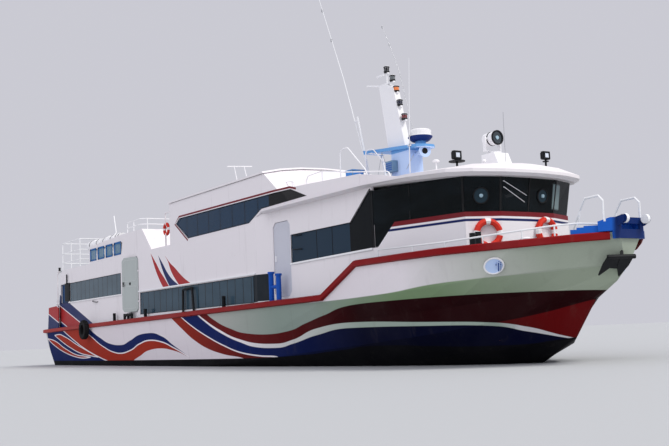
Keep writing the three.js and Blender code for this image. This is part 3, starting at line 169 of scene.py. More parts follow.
feed(weather, scaled.inputs["Height"], fine)
feed(weather, scaled.inputs["Normal"], ripple)
feed(weather, group_out.inputs["Normal"], scaled.outputs["Normal"])


def weathered(name, color, grime=0.3, rust=0.2, gloss=0.35, ripple=0.3, metallic=0.0, fade=0.02,
              shine=0.12, alpha=1.0, glow=0.0):
    """A material in that colour, a fixed one or one made by paint(tree), worn by the weather."""
    material = bpy.data.materials.new(name)
    material.use_nodes = True
    tree = material.node_tree
    shader = tree.nodes["Principled BSDF"]
    for label, value in (("Metallic", metallic), ("Specular IOR Level", shine), ("Alpha", alpha),
                         ("Emission Strength", glow)):
        shader.inputs[label].default_value = value
    worn = add_node(tree, "ShaderNodeGroup", node_tree=weather)
    feed(tree, worn.inputs["Color"], color(tree) if callable(color) else color)
    for label, value in (("Fade", fade), ("Grime", grime), ("Rust", rust), ("Gloss", gloss),
                         ("Ripple", ripple)):
        worn.inputs[label].default_value = value
    tree.links.new(worn.outputs["Color"], shader.inputs["Base Color"])
    if glow:
        tree.links.new(worn.outputs["Color"], shader.inputs["Emission Color"])
    tree.links.new(worn.outputs["Roughness"], shader.inputs["Roughness"])
    tree.links.new(worn.outputs["Normal"], shader.inputs["Normal"])
    return material


def dress(material, *names):
    """Gives CAD nodes their material."""
    for name in names:
        for slot in nodes[name].material_slots:
            slot.material = material


def both(stem):
    """Names of the starboard and the port node."""
    return [f"{stem}_{side}" for side, _ in SIDES]


def height_curve(tree, x, points):
    """A height that changes along the ship, on a smooth curve through points of x and z."""
    x0, x1 = points[0][0], points[-1][0]
    heights = [z for _, z in points]
    low, high = min(heights) - 0.01, max(heights) + 0.01
    node = add_node(tree, "ShaderNodeFloatCurve")
    feed(tree, node.inputs["Value"], between(tree, x, x0, x1))
    curve = node.mapping.curves[0]
    placed = [((px - x0) / (x1 - x0), (pz - low) / (high - low)) for px, pz in points]
    curve.points[0].location, curve.points[1].location = placed[0], placed[-1]
    for u, v in placed[1:-1]:
        curve.points.new(u, v)
    for point in curve.points:
        point.handle_type = "AUTO_CLAMPED"
    node.mapping.update()
    return calc(tree, "MULTIPLY_ADD", node.outputs[0], high - low, low)


def under(tree, z, limit, soft=0.012):
    """1 where z is under the limit, with a soft edge."""
    gap = calc(tree, "SUBTRACT", limit, z)
    return calc(tree, "MULTIPLY_ADD", gap, 1 / soft, 0.5, clamp=True)


def near(tree, z, limit, half):
    """1 within half of the limit."""
    away = calc(tree, "ABSOLUTE", calc(tree, "SUBTRACT", z, limit))
    return under(tree, away, half, 0.01)


def both_of(tree, *masks):
    """1 where all the masks are 1."""
    result = masks[0]
    for mask in masks[1:]:
        result = calc(tree, "MULTIPLY", result, mask)
    return result


def inside(tree, value, low, high, soft=0.012):
    """1 from low to high."""
    return both_of(tree, under(tree, low, value, soft), under(tree, value, high, soft))


NAVY = (0.004, 0.014, 0.100)
LINE_WHITE = (0.84, 0.80, 0.82)
ANTIFOULING = (0.055, 0.020, 0.016)
DECK_GREY = (0.25, 0.29, 0.30)
# Edges of the stripes in side view, each as points of x and z
WAVE_TOP = [(-10.6, 1.60), (-10.30, 1.448), (-9.24, 1.097), (-8.19, 0.859), (-7.25, 0.802), (-6.15, 0.957),
            (-5.11, 1.160), (-4.16, 1.195), (-3.20, 1.066), (-2.26, 0.735), (-1.05, 0.32)]
WAVE_LINE = [(-11.60, 1.639), (-10.28, 1.171), (-9.03, 0.751), (-7.92, 0.521), (-7.39, 0.486), (-6.31, 0.584),
             (-5.21, 0.829), (-4.22, 0.933), (-3.34, 0.875), (-2.29, 0.652), (-1.05, 0.31)]
WAVE_UNDER = [(-6.3, 0.12), (-6.05, 0.216), (-5.39, 0.371), (-4.35, 0.584), (-3.42, 0.631), (-2.33, 0.549),
              (-1.05, 0.30)]
STERN_NAVY = [(-14.3, 1.66), (-13.98, 1.544), (-12.34, 1.008), (-10.99, 0.617), (-9.59, 0.311), (-8.6, 0.14)]
LEAVES = [
    ([(-15.3, 1.36), (-14.64, 1.382), (-13.94, 1.286), (-12.25, 0.887), (-10.67, 0.523), (-9.9, 0.35)],
     [(-15.3, 1.35), (-14.59, 1.134), (-13.29, 0.787), (-11.80, 0.501), (-10.85, 0.415), (-9.9, 0.349)]),
    ([(-16.45, 1.23), (-15.50, 1.127), (-13.90, 0.723), (-12.36, 0.441), (-11.60, 0.403), (-10.8, 0.35)],
     [(-16.45, 1.22), (-15.59, 0.923), (-14.00, 0.547), (-12.41, 0.346), (-11.64, 0.314), (-10.8, 0.349)]),
]
SWEEP_RED = [(-2.5, 1.82), (-2.19, 1.665), (-1.38, 1.263), (-0.52, 0.876), (0.37, 0.594), (1.52, 0.389),
             (2.77, 0.249), (3.2, 0.1)]
SWEEP_NAVY = [(-1.6, 1.78), (-1.37, 1.669), (-0.57, 1.330), (0.56, 0.952), (1.60, 0.658), (2.59, 0.442),
              (3.75, 0.325), (4.69, 0.287), (5.2, 0.1)]
SWEEP_WHITE = [(-0.4, 1.83), (0.23, 1.527), (1.44, 1.072), (2.68, 0.749), (3.84, 0.569), (4.74, 0.549),
               (5.63, 0.646), (6.99, 0.871), (8.45, 1.011), (11.07, 0.976), (12.70, 0.918), (13.16, 0.785),
               (13.66, 0.609), (14.0, 0.50)]
SWEEP_MAROON = [(-0.3, 1.84), (0.31, 1.557), (1.46, 1.150), (2.70, 0.834), (3.89, 0.687), (4.79, 0.669),
                (5.67, 0.758), (7.06, 1.053), (8.51, 1.151), (11.11, 1.070), (12.74, 0.992), (13.21, 0.889),
                (13.68, 0.661), (14.0, 0.52)]
SWEEP_TOP = [(0.3, 1.84), (1.03, 1.508), (2.15, 1.181), (3.37, 0.988), (4.44, 0.948), (5.39, 0.995),
             (6.48, 1.191), (7.53, 1.390), (8.98, 1.594), (10.76, 1.619), (13.14, 1.623), (14.51, 1.602),
             (15.2, 1.55)]
BOOT = [(-16.8, 0.20), (-6.05, 0.216), (-0.26, 0.240), (3.85, 0.27), (5.83, 0.325), (7.26, 0.414),
        (8.15, 0.468), (9.37, 0.536), (10.98, 0.491), (12.65, 0.451), (13.51, 0.520), (14.1, 0.60)]
# Edges of the painted shade under the flare and of the painted light on the stem
LOW_FLARE = [(-1.0, 1.95), (4.5, 1.93), (7.2, 1.74), (10.10, 1.788), (11.9, 1.906), (13.3, 1.963),
             (15.5, 2.10)]
STEM_FOOT = [(10.0, 0.68), (12.6, 0.93), (14.6, 1.40)]


def hull_paint(tree):
    _, (x, _, z) = object_place(tree)

    def curve(points):
        return height_curve(tree, x, points)

    # Painted shade and painted reflection: the pale topsides get darker and greener towards the bow, and the
    # lower ones under the flare darker still, for the shade under the flare and the water's green reflection.
    upper = mix(tree, between(tree, x, 7.5, 11.0), (0.75, 0.70, 0.735), (0.78, 0.74, 0.77))
    upper = mix(tree, between(tree, x, 11.0, 14.5), upper, (0.36, 0.41, 0.335))
    lower = mix(tree, between(tree, x, 1.0, 5.0), (0.43, 0.44, 0.41), (0.26, 0.32, 0.28))
    lower = mix(tree, between(tree, x, 7.0, 10.5), lower, (0.19, 0.28, 0.155))
    lower = mix(tree, between(tree, x, 12.0, 14.3), lower, (0.33, 0.385, 0.30))
    flare = both_of(tree, under(tree, -0.6, x, 0.6), under(tree, z, curve(LOW_FLARE), 0.02))
    shaded_topside = mix(tree, flare, upper, lower)
    aft = under(tree, x, -1.10, 0.02)
    # Painted shade: the wave's red gets darker forward, from x = -4 to 3, under the flare.
    wave_red_shaded = mix(tree, between(tree, x, -4.0, 3.0), (0.36, 0.030, 0.014), (0.12, 0.010, 0.010))
    color = mix(tree, both_of(tree, aft, under(tree, z, curve(WAVE_TOP))), upper, NAVY)
    wave = curve(WAVE_LINE)
    color = mix(tree, both_of(tree, aft, under(tree, z, wave)), color, wave_red_shaded)
    below = both_of(tree, under(tree, z, curve(WAVE_UNDER)), under(tree, -6.30, x, 0.02))
    color = mix(tree, both_of(tree, aft, below), color, upper)
    color = mix(tree, both_of(tree, aft, near(tree, z, wave, 0.022)), color, LINE_WHITE)
    navy_edge = curve(STERN_NAVY)
    color = mix(tree, under(tree, z, navy_edge), color, NAVY)
    color = mix(tree, both_of(tree, near(tree, z, navy_edge, 0.024), under(tree, x, -8.7)), color, LINE_WHITE)
    for top_points, low_points in LEAVES:
        top, low = curve(top_points), curve(low_points)
        span = inside(tree, x, top_points[0][0], top_points[-1][0], 0.03)
        leaf = both_of(tree, span, under(tree, z, top), under(tree, low, z))
        color = mix(tree, leaf, color, wave_red_shaded)
        for edge in (top, low):
            color = mix(tree, both_of(tree, span, near(tree, z, edge, 0.02)), color, LINE_WHITE)
    # Painted shade: from x = 3 to 9 the maroon, the navy and the white sweep get darker, the white also
    # greener, for the shade under the flare.
    painted_shade_forward = between(tree, x, 3.0, 9.0)
    maroon = mix(tree, painted_shade_forward, (0.13, 0.008, 0.009), (0.018, 0.002, 0.003))
    # Painted light: the maroon is lighter low on the stem, where the light falls on it.
    painted_light_on_stem = both_of(tree, between(tree, x, 11.8, 13.6), under(tree, z, curve(STEM_FOOT)))
    maroon = mix(tree, painted_light_on_stem, maroon, (0.115, 0.004, 0.005))
    color = mix(tree, under(tree, curve(SWEEP_RED), z), color, wave_red_shaded)
    navy = curve(SWEEP_NAVY)
    color = mix(tree, under(tree, navy, z), color, mix(tree, painted_shade_forward, NAVY, (0.002, 0.003, 0.018)))
    color = mix(tree, both_of(tree, near(tree, z, navy, 0.022), under(tree, x, 4.75)), color, LINE_WHITE)
    pale = mix(tree, painted_shade_forward, LINE_WHITE, (0.34, 0.42, 0.36))
    # Painted light: the white sweep turns lighter again on the stem.
    pale = mix(tree, between(tree, x, 12.9, 13.2), pale, (0.6, 0.6, 0.62))
    color = mix(tree, under(tree, curve(SWEEP_WHITE), z), color, pale)
    color = mix(tree, under(tree, curve(SWEEP_MAROON), z), color, maroon)
    color = mix(tree, under(tree, curve(SWEEP_TOP), z), color, shaded_topside)
    slant = calc(tree, "MULTIPLY_ADD", z, -0.19, -16.16)
    color = mix(tree, under(tree, x, slant), color, (0.60, 0.60, 0.60))
    # A black boot line; its black also paints the shade along the waterline under the chine.
    color = mix(tree, under(tree, z, curve(BOOT)), color, (0.004, 0.004, 0.006))
    color = mix(tree, under(tree, z, -0.05), color, ANTIFOULING)
    up = add_node(tree, "ShaderNodeSeparateXYZ")
    tree.links.new(add_node(tree, "ShaderNodeNewGeometry").outputs["Normal"], up.inputs[0])
    deck = both_of(tree, under(tree, 0.8, up.outputs[2], 0.05), under(tree, 1.3, z))
    return mix(tree, deck, color, DECK_GREY)


dress(weathered("hull_paint", hull_paint, grime=0.22, rust=0.5, gloss=0.45, shine=0.03, fade=0.008), "hull")


# Rubbing rail: a heavy aluminium box section, painted red. The bollards on its foot plates are black
# and the round-headed mooring posts are blue.
BLUE = (0.010, 0.085, 0.43)
BLACK = (0.010, 0.011, 0.013)
RAIL_TOP = [(-16.7, 1.66), (7.6, 1.93), (9.23, 2.70), (13.41, 2.70), (14.23, 2.717), (15.0, 2.762),
            (15.69, 2.79)]


def rail_paint(tree):
    _, (x, _, z) = object_place(tree)
    top = RAIL_TOP[0][1] + 0.008
    for (xa, za), (xb, zb) in zip(RAIL_TOP, RAIL_TOP[1:]):
        top = calc(tree, "MULTIPLY_ADD", between(tree, x, xa, xb), zb - za, top)
    high = under(tree, top, z, 0.006)
    posts = inside(tree, x, 4.4, 5.4)
    fitting = mix(tree, posts, BLACK, BLUE)
    # Painted shade: the rail's red gets darker forward, from x = -16 to 6.
    shade = mix(tree, between(tree, x, -16.0, 6.0), (0.36, 0.045, 0.04), (0.22, 0.008, 0.010))
    return mix(tree, high, shade, fitting)


dress(weathered("rail_paint", rail_paint, grime=0.25, rust=0.4, gloss=0.45, ripple=0.6, shine=0.06),
      "rubbing_rail")


# Propellers and rudders: cast bronze screws with four blades, and spade rudders of welded plate
# under the same dull antifouling as the bottom.
for name in both("propeller"):
    dress(weathered(f"{name}_bronze", (0.42, 0.27, 0.10), grime=0.5, rust=0.1, gloss=0.3, metallic=0.9), name)
dress(weathered("antifouling", ANTIFOULING, grime=0.4, rust=0.3, gloss=0.6), *both("rudder"))


# Bow platform: a welded box painted blue, with white rollers and white pipe hoops that stay bare of
# the blue. The anchor under it is black.
PIPE_WHITE = (0.82, 0.83, 0.85)


def bow_paint(tree):
    _, (x, y, z) = object_place(tree)
    off_centre = calc(tree, "ABSOLUTE", y)
    drum = both_of(tree, inside(tree, x, 15.725, 15.94), under(tree, off_centre, 0.372, 0.004))
    hoops = under(tree, 3.12, z)
    brace = under(tree, x, 14.93)
    fore_leg = both_of(
        tree, under(tree, 3.0, z), inside(tree, off_centre, 0.552, 0.608), under(tree, x, 15.53))
    # Painted shade: the platform's front face is a darker navy, for the shade on it.
    front = under(tree, 15.64, x, 0.06)
    color = mix(tree, front, (0.010, 0.105, 0.50), (0.003, 0.020, 0.12))
    for mask in (drum, hoops, brace, fore_leg):
        color = mix(tree, mask, color, PIPE_WHITE)
    return color


dress(weathered("bow_paint", bow_paint, grime=0.3, rust=0.5, gloss=0.42), "bow_platform")
black_paint = weathered("black_paint", BLACK, grime=0.1, rust=0.15, gloss=0.5)
dress(black_paint, "anchor")


# Fore deck rails: white pipe welded to stanchions on the bulwark. The pair of black bollards beside
# them is welded to the deck edge.
BOLLARDS = [(12.95, 2.05), (13.20, 2.10)]


def off_axis(tree, x, y, at_x, at_y):
    """Distance from an upright axis."""
    along = calc(tree, "SUBTRACT", x, at_x)
    across = calc(tree, "SUBTRACT", y, at_y)
    squares = calc(tree, "MULTIPLY_ADD", along, along, calc(tree, "MULTIPLY", across, across))
    return calc(tree, "SQRT", squares)


def bow_rail_paint(tree):
    _, (x, y, z) = object_place(tree)
    off_centre = calc(tree, "ABSOLUTE", y)
    color = PIPE_WHITE
    for at_x, at_y in BOLLARDS:
        away = off_axis(tree, x, off_centre, at_x, at_y)
        color = mix(tree, both_of(tree, under(tree, away, 0.078, 0.004), under(tree, z, 3.02)), color, BLACK)
    return color


dress(weathered("bow_rail_paint", bow_rail_paint, grime=0.1, rust=0.05, gloss=0.25), *both("bow_rail"))


# Chocks: a cast oval ring let into the flare on each bow and bolted through the plate, dished and
# pale blue inside, with a dark horn across its forward end.
CHOCK_MIDDLE = (13.60, 2.045, 2.212)
CHOCK_RISE = 0.022
FLARE_ALONG = (0.393, -0.286, 0.0)
FLARE_UP = (0.140, 0.098, 0.361)
PALE_BLUE = (0.50, 0.64, 0.90)
pale_blue_paint = weathered("pale_blue_paint", PALE_BLUE, grime=0.15, rust=0.1, gloss=0.35)
clean_white = weathered("white_gloss", (0.86, 0.86, 0.88), grime=0.1, rust=0.05, gloss=0.25)
navy_paint = weathered("navy_paint", (0.008, 0.045, 0.22), grime=0.2, rust=0.2)


def add_piece(name, bm, *materials, body="hull", sharp=35):
    """Makes the bmesh a piece that rides on a body, smooth but for edges over sharp degrees."""
    bmesh.ops.recalc_face_normals(bm, faces=bm.faces[:])
    mesh = bpy.data.meshes.new(name)
    bm.to_mesh(mesh)
    bm.free()
    mesh.shade_smooth()
    mesh.set_sharp_from_angle(angle=math.radians(sharp))
    for material in materials:
        mesh.materials.append(material)
    thing = bpy.data.objects.new(name, mesh)
    scene.collection.objects.link(thing)
    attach(thing, body)
    return thing


def add_box(bm, low, high, bevel=0.006, slot=0, turn=None):
    """A box with softened edges."""
    size = [b - a for a, b in zip(low, high)]
    middle = [(a + b) / 2 for a, b in zip(low, high)]
    matrix = (turn or Matrix()) @ Matrix.Translation(middle) @ Matrix.Diagonal((*size, 1))
    verts = bmesh.ops.create_cube(bm, size=1, matrix=matrix)["verts"]
    for face in {face for vert in verts for face in vert.link_faces}:
        face.material_index = slot
    edges = list({edge for vert in verts for edge in vert.link_edges})
    bmesh.ops.bevel(bm, geom=edges, offset=bevel, segments=2, profile=0.7, affect="EDGES")


def add_lathe(bm, profile, centre, axis=(0, 0, 1), steps=20, slot=0):
    """A turned shape. The profile's columns: radius, distance along the axis."""
    turn = Vector((0, 0, 1)).rotation_difference(Vector(axis)).to_matrix().to_4x4()
    matrix = Matrix.Translation(centre) @ turn
    verts = [bm.verts.new(matrix @ Vector((radius, 0, along))) for radius, along in profile]
    edges = [bm.edges.new(pair) for pair in zip(verts, verts[1:])]
    before = set(bm.faces)
    bmesh.ops.spin(
        bm, geom=[*verts, *edges], cent=centre, axis=axis, angle=2 * math.pi, steps=steps, use_merge=True)
    new_faces = [face for face in bm.faces if face not in before]
    for face in new_faces:
        face.material_index = slot
    turned = list({vert for face in new_faces for vert in face.verts})
    bmesh.ops.remove_doubles(bm, verts=turned, dist=1e-5)


def on_flare(side):
    """From the chock's own plane to the flare: along the ship, up the plate, outwards."""
    along, up = [Vector((x, y * side, z)).normalized() for x, y, z in (FLARE_ALONG, FLARE_UP)]
    outward = along.cross(up) * -side
    turn = Matrix((along, up, outward)).transposed().to_4x4()
    x, y, z = CHOCK_MIDDLE
    return Matrix.Translation(Vector((x, y * side, z)) + outward * CHOCK_RISE) @ turn


for name, side in SIDES:
    bm = bmesh.new()
    add_lathe(bm, [(0.0, 0.006), (0.15, 0.008), (0.185, 0.014), (0.20, 0.026), (0.215, 0.026),
                   (0.225, 0.012), (0.225, -0.01)], (0, 0, 0), steps=32)
    for face in bm.faces:
        if face.calc_center_median().xy.length > 0.19:
            face.material_index = 1
    add_box(bm, (0.085, -0.13, 0.0), (0.135, 0.12, 0.075), 0.012, slot=2)
    add_box(bm, (0.03, 0.03, 0.03), (0.185, 0.075, 0.070), 0.010, slot=2)
    oval = Matrix.Diagonal((1.03, 0.88, 1, 1))
    bmesh.ops.transform(bm, verts=bm.verts[:], matrix=on_flare(side) @ oval)
    add_piece(f"chock_{name}", bm, pale_blue_paint, clean_white, navy_paint)


# Fore deck fittings: a hatch lid with clips on its welded coaming, and two mushroom vents, all of
# aluminium and painted like the deck house. They are low and stand behind the bulwark.
WHITE = (0.80, 0.765, 0.79)
white_paint = weathered("white_paint", WHITE, grime=0.25, rust=0.25)
grey_metal = weathered("grey_metal", (0.42, 0.43, 0.45), grime=0.2, rust=0.2, gloss=0.35, metallic=0.85)
bm = bmesh.new()
add_box(bm, (13.35, -0.36, 2.68), (14.07, 0.36, 2.76), 0.012)
add_box(bm, (13.33, -0.38, 2.76), (14.09, 0.38, 2.795), 0.014, slot=1)
for y in (-0.25, 0.25):
    add_box(bm, (13.30, y - 0.035, 2.72), (13.35, y + 0.035, 2.80), 0.006, slot=2)
    add_box(bm, (14.07, y - 0.02, 2.74), (14.13, y + 0.02, 2.81), 0.006, slot=2)
for y in (-0.95, 0.95):
    add_lathe(bm, [(0.06, 2.675), (0.06, 2.80), (0.125, 2.805), (0.13, 2.83), (0.09, 2.865),
                   (0.0, 2.875)], (13.5, y, 0), steps=20)
add_piece("fore_deck_fittings", bm, white_paint, clean_white, grey_metal)


# House sides: aluminium plate welded to the deck and sprayed white. A band of red between blue runs
# up the aft end of each side, with fine white lines, and three outlined fins stand over the middle
# window.
RED = (0.38, 0.018, 0.020)
DARK_PANEL = (0.010, 0.016, 0.022)
FINS = [
    (RED, [(-4.44, 4.13), (-4.01, 3.47), (-3.63, 3.04), (-3.37, 2.80)],
     [(-4.44, 4.13), (-3.82, 3.60), (-3.61, 3.40), (-3.18, 3.08), (-2.84, 2.80)]),
    (NAVY, [(-3.75, 3.99), (-3.38, 3.42), (-3.01, 3.00), (-2.80, 2.80)],
     [(-3.75, 3.99), (-3.33, 3.63), (-2.99, 3.32), (-2.57, 3.04), (-2.04, 2.80)]),
    (RED, [(-3.17, 3.94), (-2.88, 3.67), (-2.68, 3.37), (-2.40, 3.10), (-2.00, 2.80)],
     [(-3.17, 3.94), (-2.71, 3.62), (-2.30, 3.41), (-1.89, 3.17), (-1.49, 2.97), (-1.06, 2.80)]),
]
FIN_FOOT = 2.80
# Columns: x and z of a point on the edge, slope of the edge
BAND_EDGES = [(-12.417, 2.324, -0.334), (-13.615, 2.255, -0.310), (-14.737, 1.917, -0.298)]


def house_paint(tree):
    _, (x, y, z) = object_place(tree)
    outer = under(tree, 2.43, calc(tree, "ABSOLUTE", y), 0.01)
    blue_edge, red_edge, low_edge = [
        calc(tree, "MULTIPLY_ADD", x, rate, z0 - x0 * rate) for x0, z0, rate in BAND_EDGES]
    color = mix(tree, under(tree, z, blue_edge), WHITE, NAVY)
    color = mix(tree, under(tree, z, red_edge), color, RED)
    color = mix(tree, under(tree, z, low_edge), color, NAVY)
    for edge in (red_edge, low_edge):
        color = mix(tree, near(tree, z, edge, 0.022), color, LINE_WHITE)
    for paint, low_points, high_points in FINS:
        low, high = height_curve(tree, x, low_points), height_curve(tree, x, high_points)
        span = both_of(tree, under(tree, high_points[0][0], x), under(tree, FIN_FOOT, z))
        for grow, shade in ((0.045, LINE_WHITE), (0.0, paint)):
            head = calc(tree, "ADD", high, grow)
            foot = calc(tree, "SUBTRACT", low, grow)
            fin = both_of(tree, under(tree, z, head), under(tree, foot, z), span)
            color = mix(tree, fin, color, shade)
    fore_panel = both_of(tree, under(tree, 3.40, x), inside(tree, z, 1.92, 2.74))
    color = mix(tree, fore_panel, color, DARK_PANEL)
    return mix(tree, outer, WHITE, color)


house_finish = weathered("house_paint", house_paint, grime=0.25, rust=0.3)
dress(house_finish, *both("side_wall"), *both("stern_bulwark"))


# Forward house: the same welded plate in white, with dark panels on its slanting facets in line with
# the window bands. The other white walls and roofs are sprayed with it.
def fore_wall_paint(tree):
    _, (x, y, z) = object_place(tree)
    outer = under(tree, 2.27, calc(tree, "ABSOLUTE", y), 0.01)
    panel = both_of(tree, inside(tree, x, 3.40, 4.12), inside(tree, z, 1.94, 2.74), outer)
    corner = both_of(tree, under(tree, 9.42, x), inside(tree, z, 2.99, 4.46), outer)
    return mix(tree, corner, mix(tree, panel, WHITE, DARK_PANEL), BLACK)


dress(weathered("fore_wall_paint", fore_wall_paint, grime=0.25, rust=0.3), *both("fore_wall"))
dress(white_paint, "upper_roof", "upper_front", "aft_bulkhead", "upper_aft_wall", "bridge_roof",
      *both("upper_side"), "shelter")
dress(weathered("upper_deck_paint", DECK_GREY, grime=0.4, rust=0.3, gloss=0.7, ripple=1.0), "upper_deck")


# Bridge front: white plate welded round the front of the forward house, with a painted red band
# under the windows and a navy line under that.
MAROON = (0.17, 0.012, 0.018)


def bridge_paint(tree):
    _, (x, _, z) = object_place(tree)
    color = mix(tree, inside(tree, z, 3.455, 3.60), WHITE, MAROON)
    color = mix(tree, inside(tree, z, 3.345, 3.405), color, NAVY)
    return mix(tree, under(tree, x, 9.62), color, mix(tree, under(tree, 2.99, z), WHITE, BLACK))


dress(weathered("bridge_paint", bridge_paint, grime=0.2, rust=0.2), "bridge_panel")


# Window panes: tinted toughened glass, bedded in black. The lower saloon's panes have blinds behind
# them, which show as fine upright lines; a black patch closes the upper pane's forward end.
SEAM_BLACK = (0.003, 0.003, 0.004)


def upper_tint(tree):
    _, (x, _, _) = object_place(tree)
    color = mix(tree, under(tree, 4.45, x, 0.02), (0.014, 0.042, 0.085), (0.004, 0.005, 0.006))
    share = calc(tree, "FRACT", calc(tree, "MULTIPLY_ADD", x, 1 / 0.84, 10.53))
    seam = both_of(tree, under(tree, share, 0.045, 0.02), under(tree, x, 4.40))
    return mix(tree, seam, color, SEAM_BLACK)


def fore_tint(tree):
    _, (x, _, _) = object_place(tree)
    color = mix(tree, under(tree, 8.43, x, 0.02), (0.020, 0.040, 0.066), (0.005, 0.007, 0.009))
    for seam in (6.77, 7.56, 8.43):
        color = mix(tree, inside(tree, x, seam - 0.016, seam + 0.016), color, SEAM_BLACK)
    return color


def blind_tint(tint, pitch, dark):
    """Paint for a band of panes with blinds: their joints lie a pitch apart."""
    def paint(tree):
        place, (x, _, z) = object_place(tree)
        share = calc(tree, "FRACT", calc(tree, "MULTIPLY", x, 1 / pitch))
        joint = under(tree, share, 0.09, 0.05)
        # Painted reflection: lighter patches on the panes stand for reflections.
        painted_reflection_patches = between(tree, noise(tree, stretched(tree, place, (0.6, 0.6, 1.6)), 1.0), 0.35, 0.7)
        color = mix(tree, calc(tree, "MULTIPLY", painted_reflection_patches, 0.35), tint, tuple(value * 1.7 for value in tint))
        return mix(tree, calc(tree, "MULTIPLY", joint, dark), color, (0.006, 0.009, 0.012))
    return paint


def bridge_tint(tree):
    place, (x, y, z) = object_place(tree)
    # Painted reflection: a noisy sheen over the dark glass, and a pale patch on the port front pane for a
    # bright reflection.
    sheen = between(tree, noise(tree, stretched(tree, place, (0.5, 0.5, 1.2)), 1.2), 0.4, 0.8)
    color = mix(tree, calc(tree, "MULTIPLY", sheen, 0.3), (0.004, 0.006, 0.007), (0.03, 0.045, 0.06))
    bright = both_of(
        tree, inside(tree, y, 0.80, 1.16, 0.03), inside(tree, z, 3.68, 4.27, 0.05), under(tree, 12.4, x))
    return mix(tree, bright, color, (0.20, 0.27, 0.28))


def glass(name, tint, alpha, shine=0.12):
    """Tinted glass, which keeps a little of what lies behind it."""
    return weathered(
        name, tint, grime=0.06, rust=0.0, gloss=0.06, ripple=0.05, fade=0.0, shine=shine, alpha=alpha)


dress(glass("upper_glass", upper_tint, 0.90), *both("upper_glass"))
dress(glass("mid_glass", blind_tint((0.040, 0.075, 0.105), 0.53, 0.7), 0.88), *both("mid_glass"))
dress(glass("aft_glass", blind_tint((0.085, 0.125, 0.155), 0.53, 0.6), 0.88), *both("aft_glass"))
dress(glass("fore_glass", fore_tint, 0.93, 0.08), *both("fore_glass"))
dress(glass("bridge_glass", bridge_tint, 0.86, 0.08), "bridge_glass")


# Gaskets: black rubber strips pressed round each pane and band of panes, one run for each outline.
# Rods and wires on board are bevelled curves.
black_rubber = weathered("black_rubber", (0.014, 0.014, 0.015), grime=0.2, rust=0.0, gloss=0.75, ripple=0.8)
# Columns: half breadth at the wall, outline of the panes in side view
GASKETS = {
    "aft": (2.452, [(-13.55, 2.78), (-7.45, 2.78), (-7.45, 3.61), (-13.55, 3.61)]),
    "mid": (2.452, [(-5.50, 1.92), (3.40, 1.92), (3.40, 2.72), (-5.50, 2.72)]),
    "stern": (2.452, [(-14.80, 2.78), (-13.75, 2.78), (-13.75, 3.61), (-14.80, 3.61)]),
    "fore": (2.302, [(5.43, 2.94), (9.44, 2.99), (9.44, 4.50), (9.40, 4.50), (8.47, 3.75),
                     (5.43, 3.75)]),
    "upper": (2.452, [(-2.10, 4.934), (-1.15, 4.34), (3.22, 4.35), (4.03, 4.69), (6.60, 4.72),
                      (5.75, 5.02), (4.83, 5.044), (-1.82, 5.095)]),
}


def rounded(points, radius):
    """The run with its corners rounded by short arcs."""
    run = [Vector(point) for point in points]
    result = [run[0]]
    for before, corner, after in zip(run, run[1:], run[2:]):
        reach = min(radius, (before - corner).length * 0.45, (after - corner).length * 0.45)
        start = corner + (before - corner).normalized() * reach
        end = corner + (after - corner).normalized() * reach
        for share in (0.0, 0.25, 0.5, 0.75, 1.0):
            result.append(start.lerp(corner, share).lerp(corner.lerp(end, share), share))
    return [*result, run[-1]]


def add_rods(name, runs, radius, material, bend=0.0):
    """A piece of round rods, one for each run of points, bent at its corners."""
    curve = bpy.data.curves.new(name, "CURVE")
    curve.dimensions = "3D"
    curve.bevel_depth = radius
    curve.bevel_resolution = 2
    curve.use_fill_caps = True
    for run in runs:
        points = rounded(run, bend) if bend else run
        spline = curve.splines.new("POLY")
        spline.points.add(len(points) - 1)
        for point, place in zip(spline.points, points):
            point.co = (*place, 1)
    curve.materials.append(material)
    thing = bpy.data.objects.new(name, curve)
    scene.collection.objects.link(thing)
    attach(thing, "hull")


def on_both_sides(runs):
    """The runs and their mirror images on the port side."""
    return [*runs, *[[(x, -y, z) for x, y, z in run] for run in runs]]


runs = []
for y, outline in GASKETS.values():
    ring = [(x, -y, z) for x, z in outline]
    runs.append([*ring, ring[0]])
add_rods("window_gaskets", on_both_sides(runs), 0.009, black_rubber)


# Ledges and mouldings: folded aluminium drip strips, welded on over and under the window bands, and
# the thin red moulding that frames the upper pane at its top and aft edges.
maroon_paint = weathered("maroon_paint", MAROON, grime=0.1, rust=0.1)
# Columns: aft end x, fore end x, z at each end, depth of the strip, wall's half breadth
LEDGES = [(-5.62, 3.56, 2.752, 2.752, 0.05, 2.45), (-13.70, -7.30, 2.742, 2.742, 0.045, 2.45),
          (5.40, 9.46, 2.890, 2.945, 0.05, 2.30)]
LEDGE_DEPTH = 0.045
LET_IN = 0.002
RED_MOULDING = [(6.05, 5.00), (5.72, 5.088), (4.83, 5.112), (-1.86, 5.163), (-2.215, 4.94), (-1.19, 4.27)]


def add_panel(bm, outline, depth, slot=0, bevel=0.0):
    """A plate with that outline, a closed ring of points, grown by the depth vector."""
    face = bm.faces.new([bm.verts.new(point) for point in outline])
    face.material_index = slot
    grown = bmesh.ops.extrude_face_region(bm, geom=[face])["geom"]
    verts = [item for item in grown if isinstance(item, bmesh.types.BMVert)]
    bmesh.ops.translate(bm, verts=verts, vec=depth)
    if bevel:
        edges = list({edge for vert in [*verts, *face.verts] for edge in vert.link_edges})
        bmesh.ops.bevel(bm, geom=edges, offset=bevel, segments=2, profile=0.7, affect="EDGES")


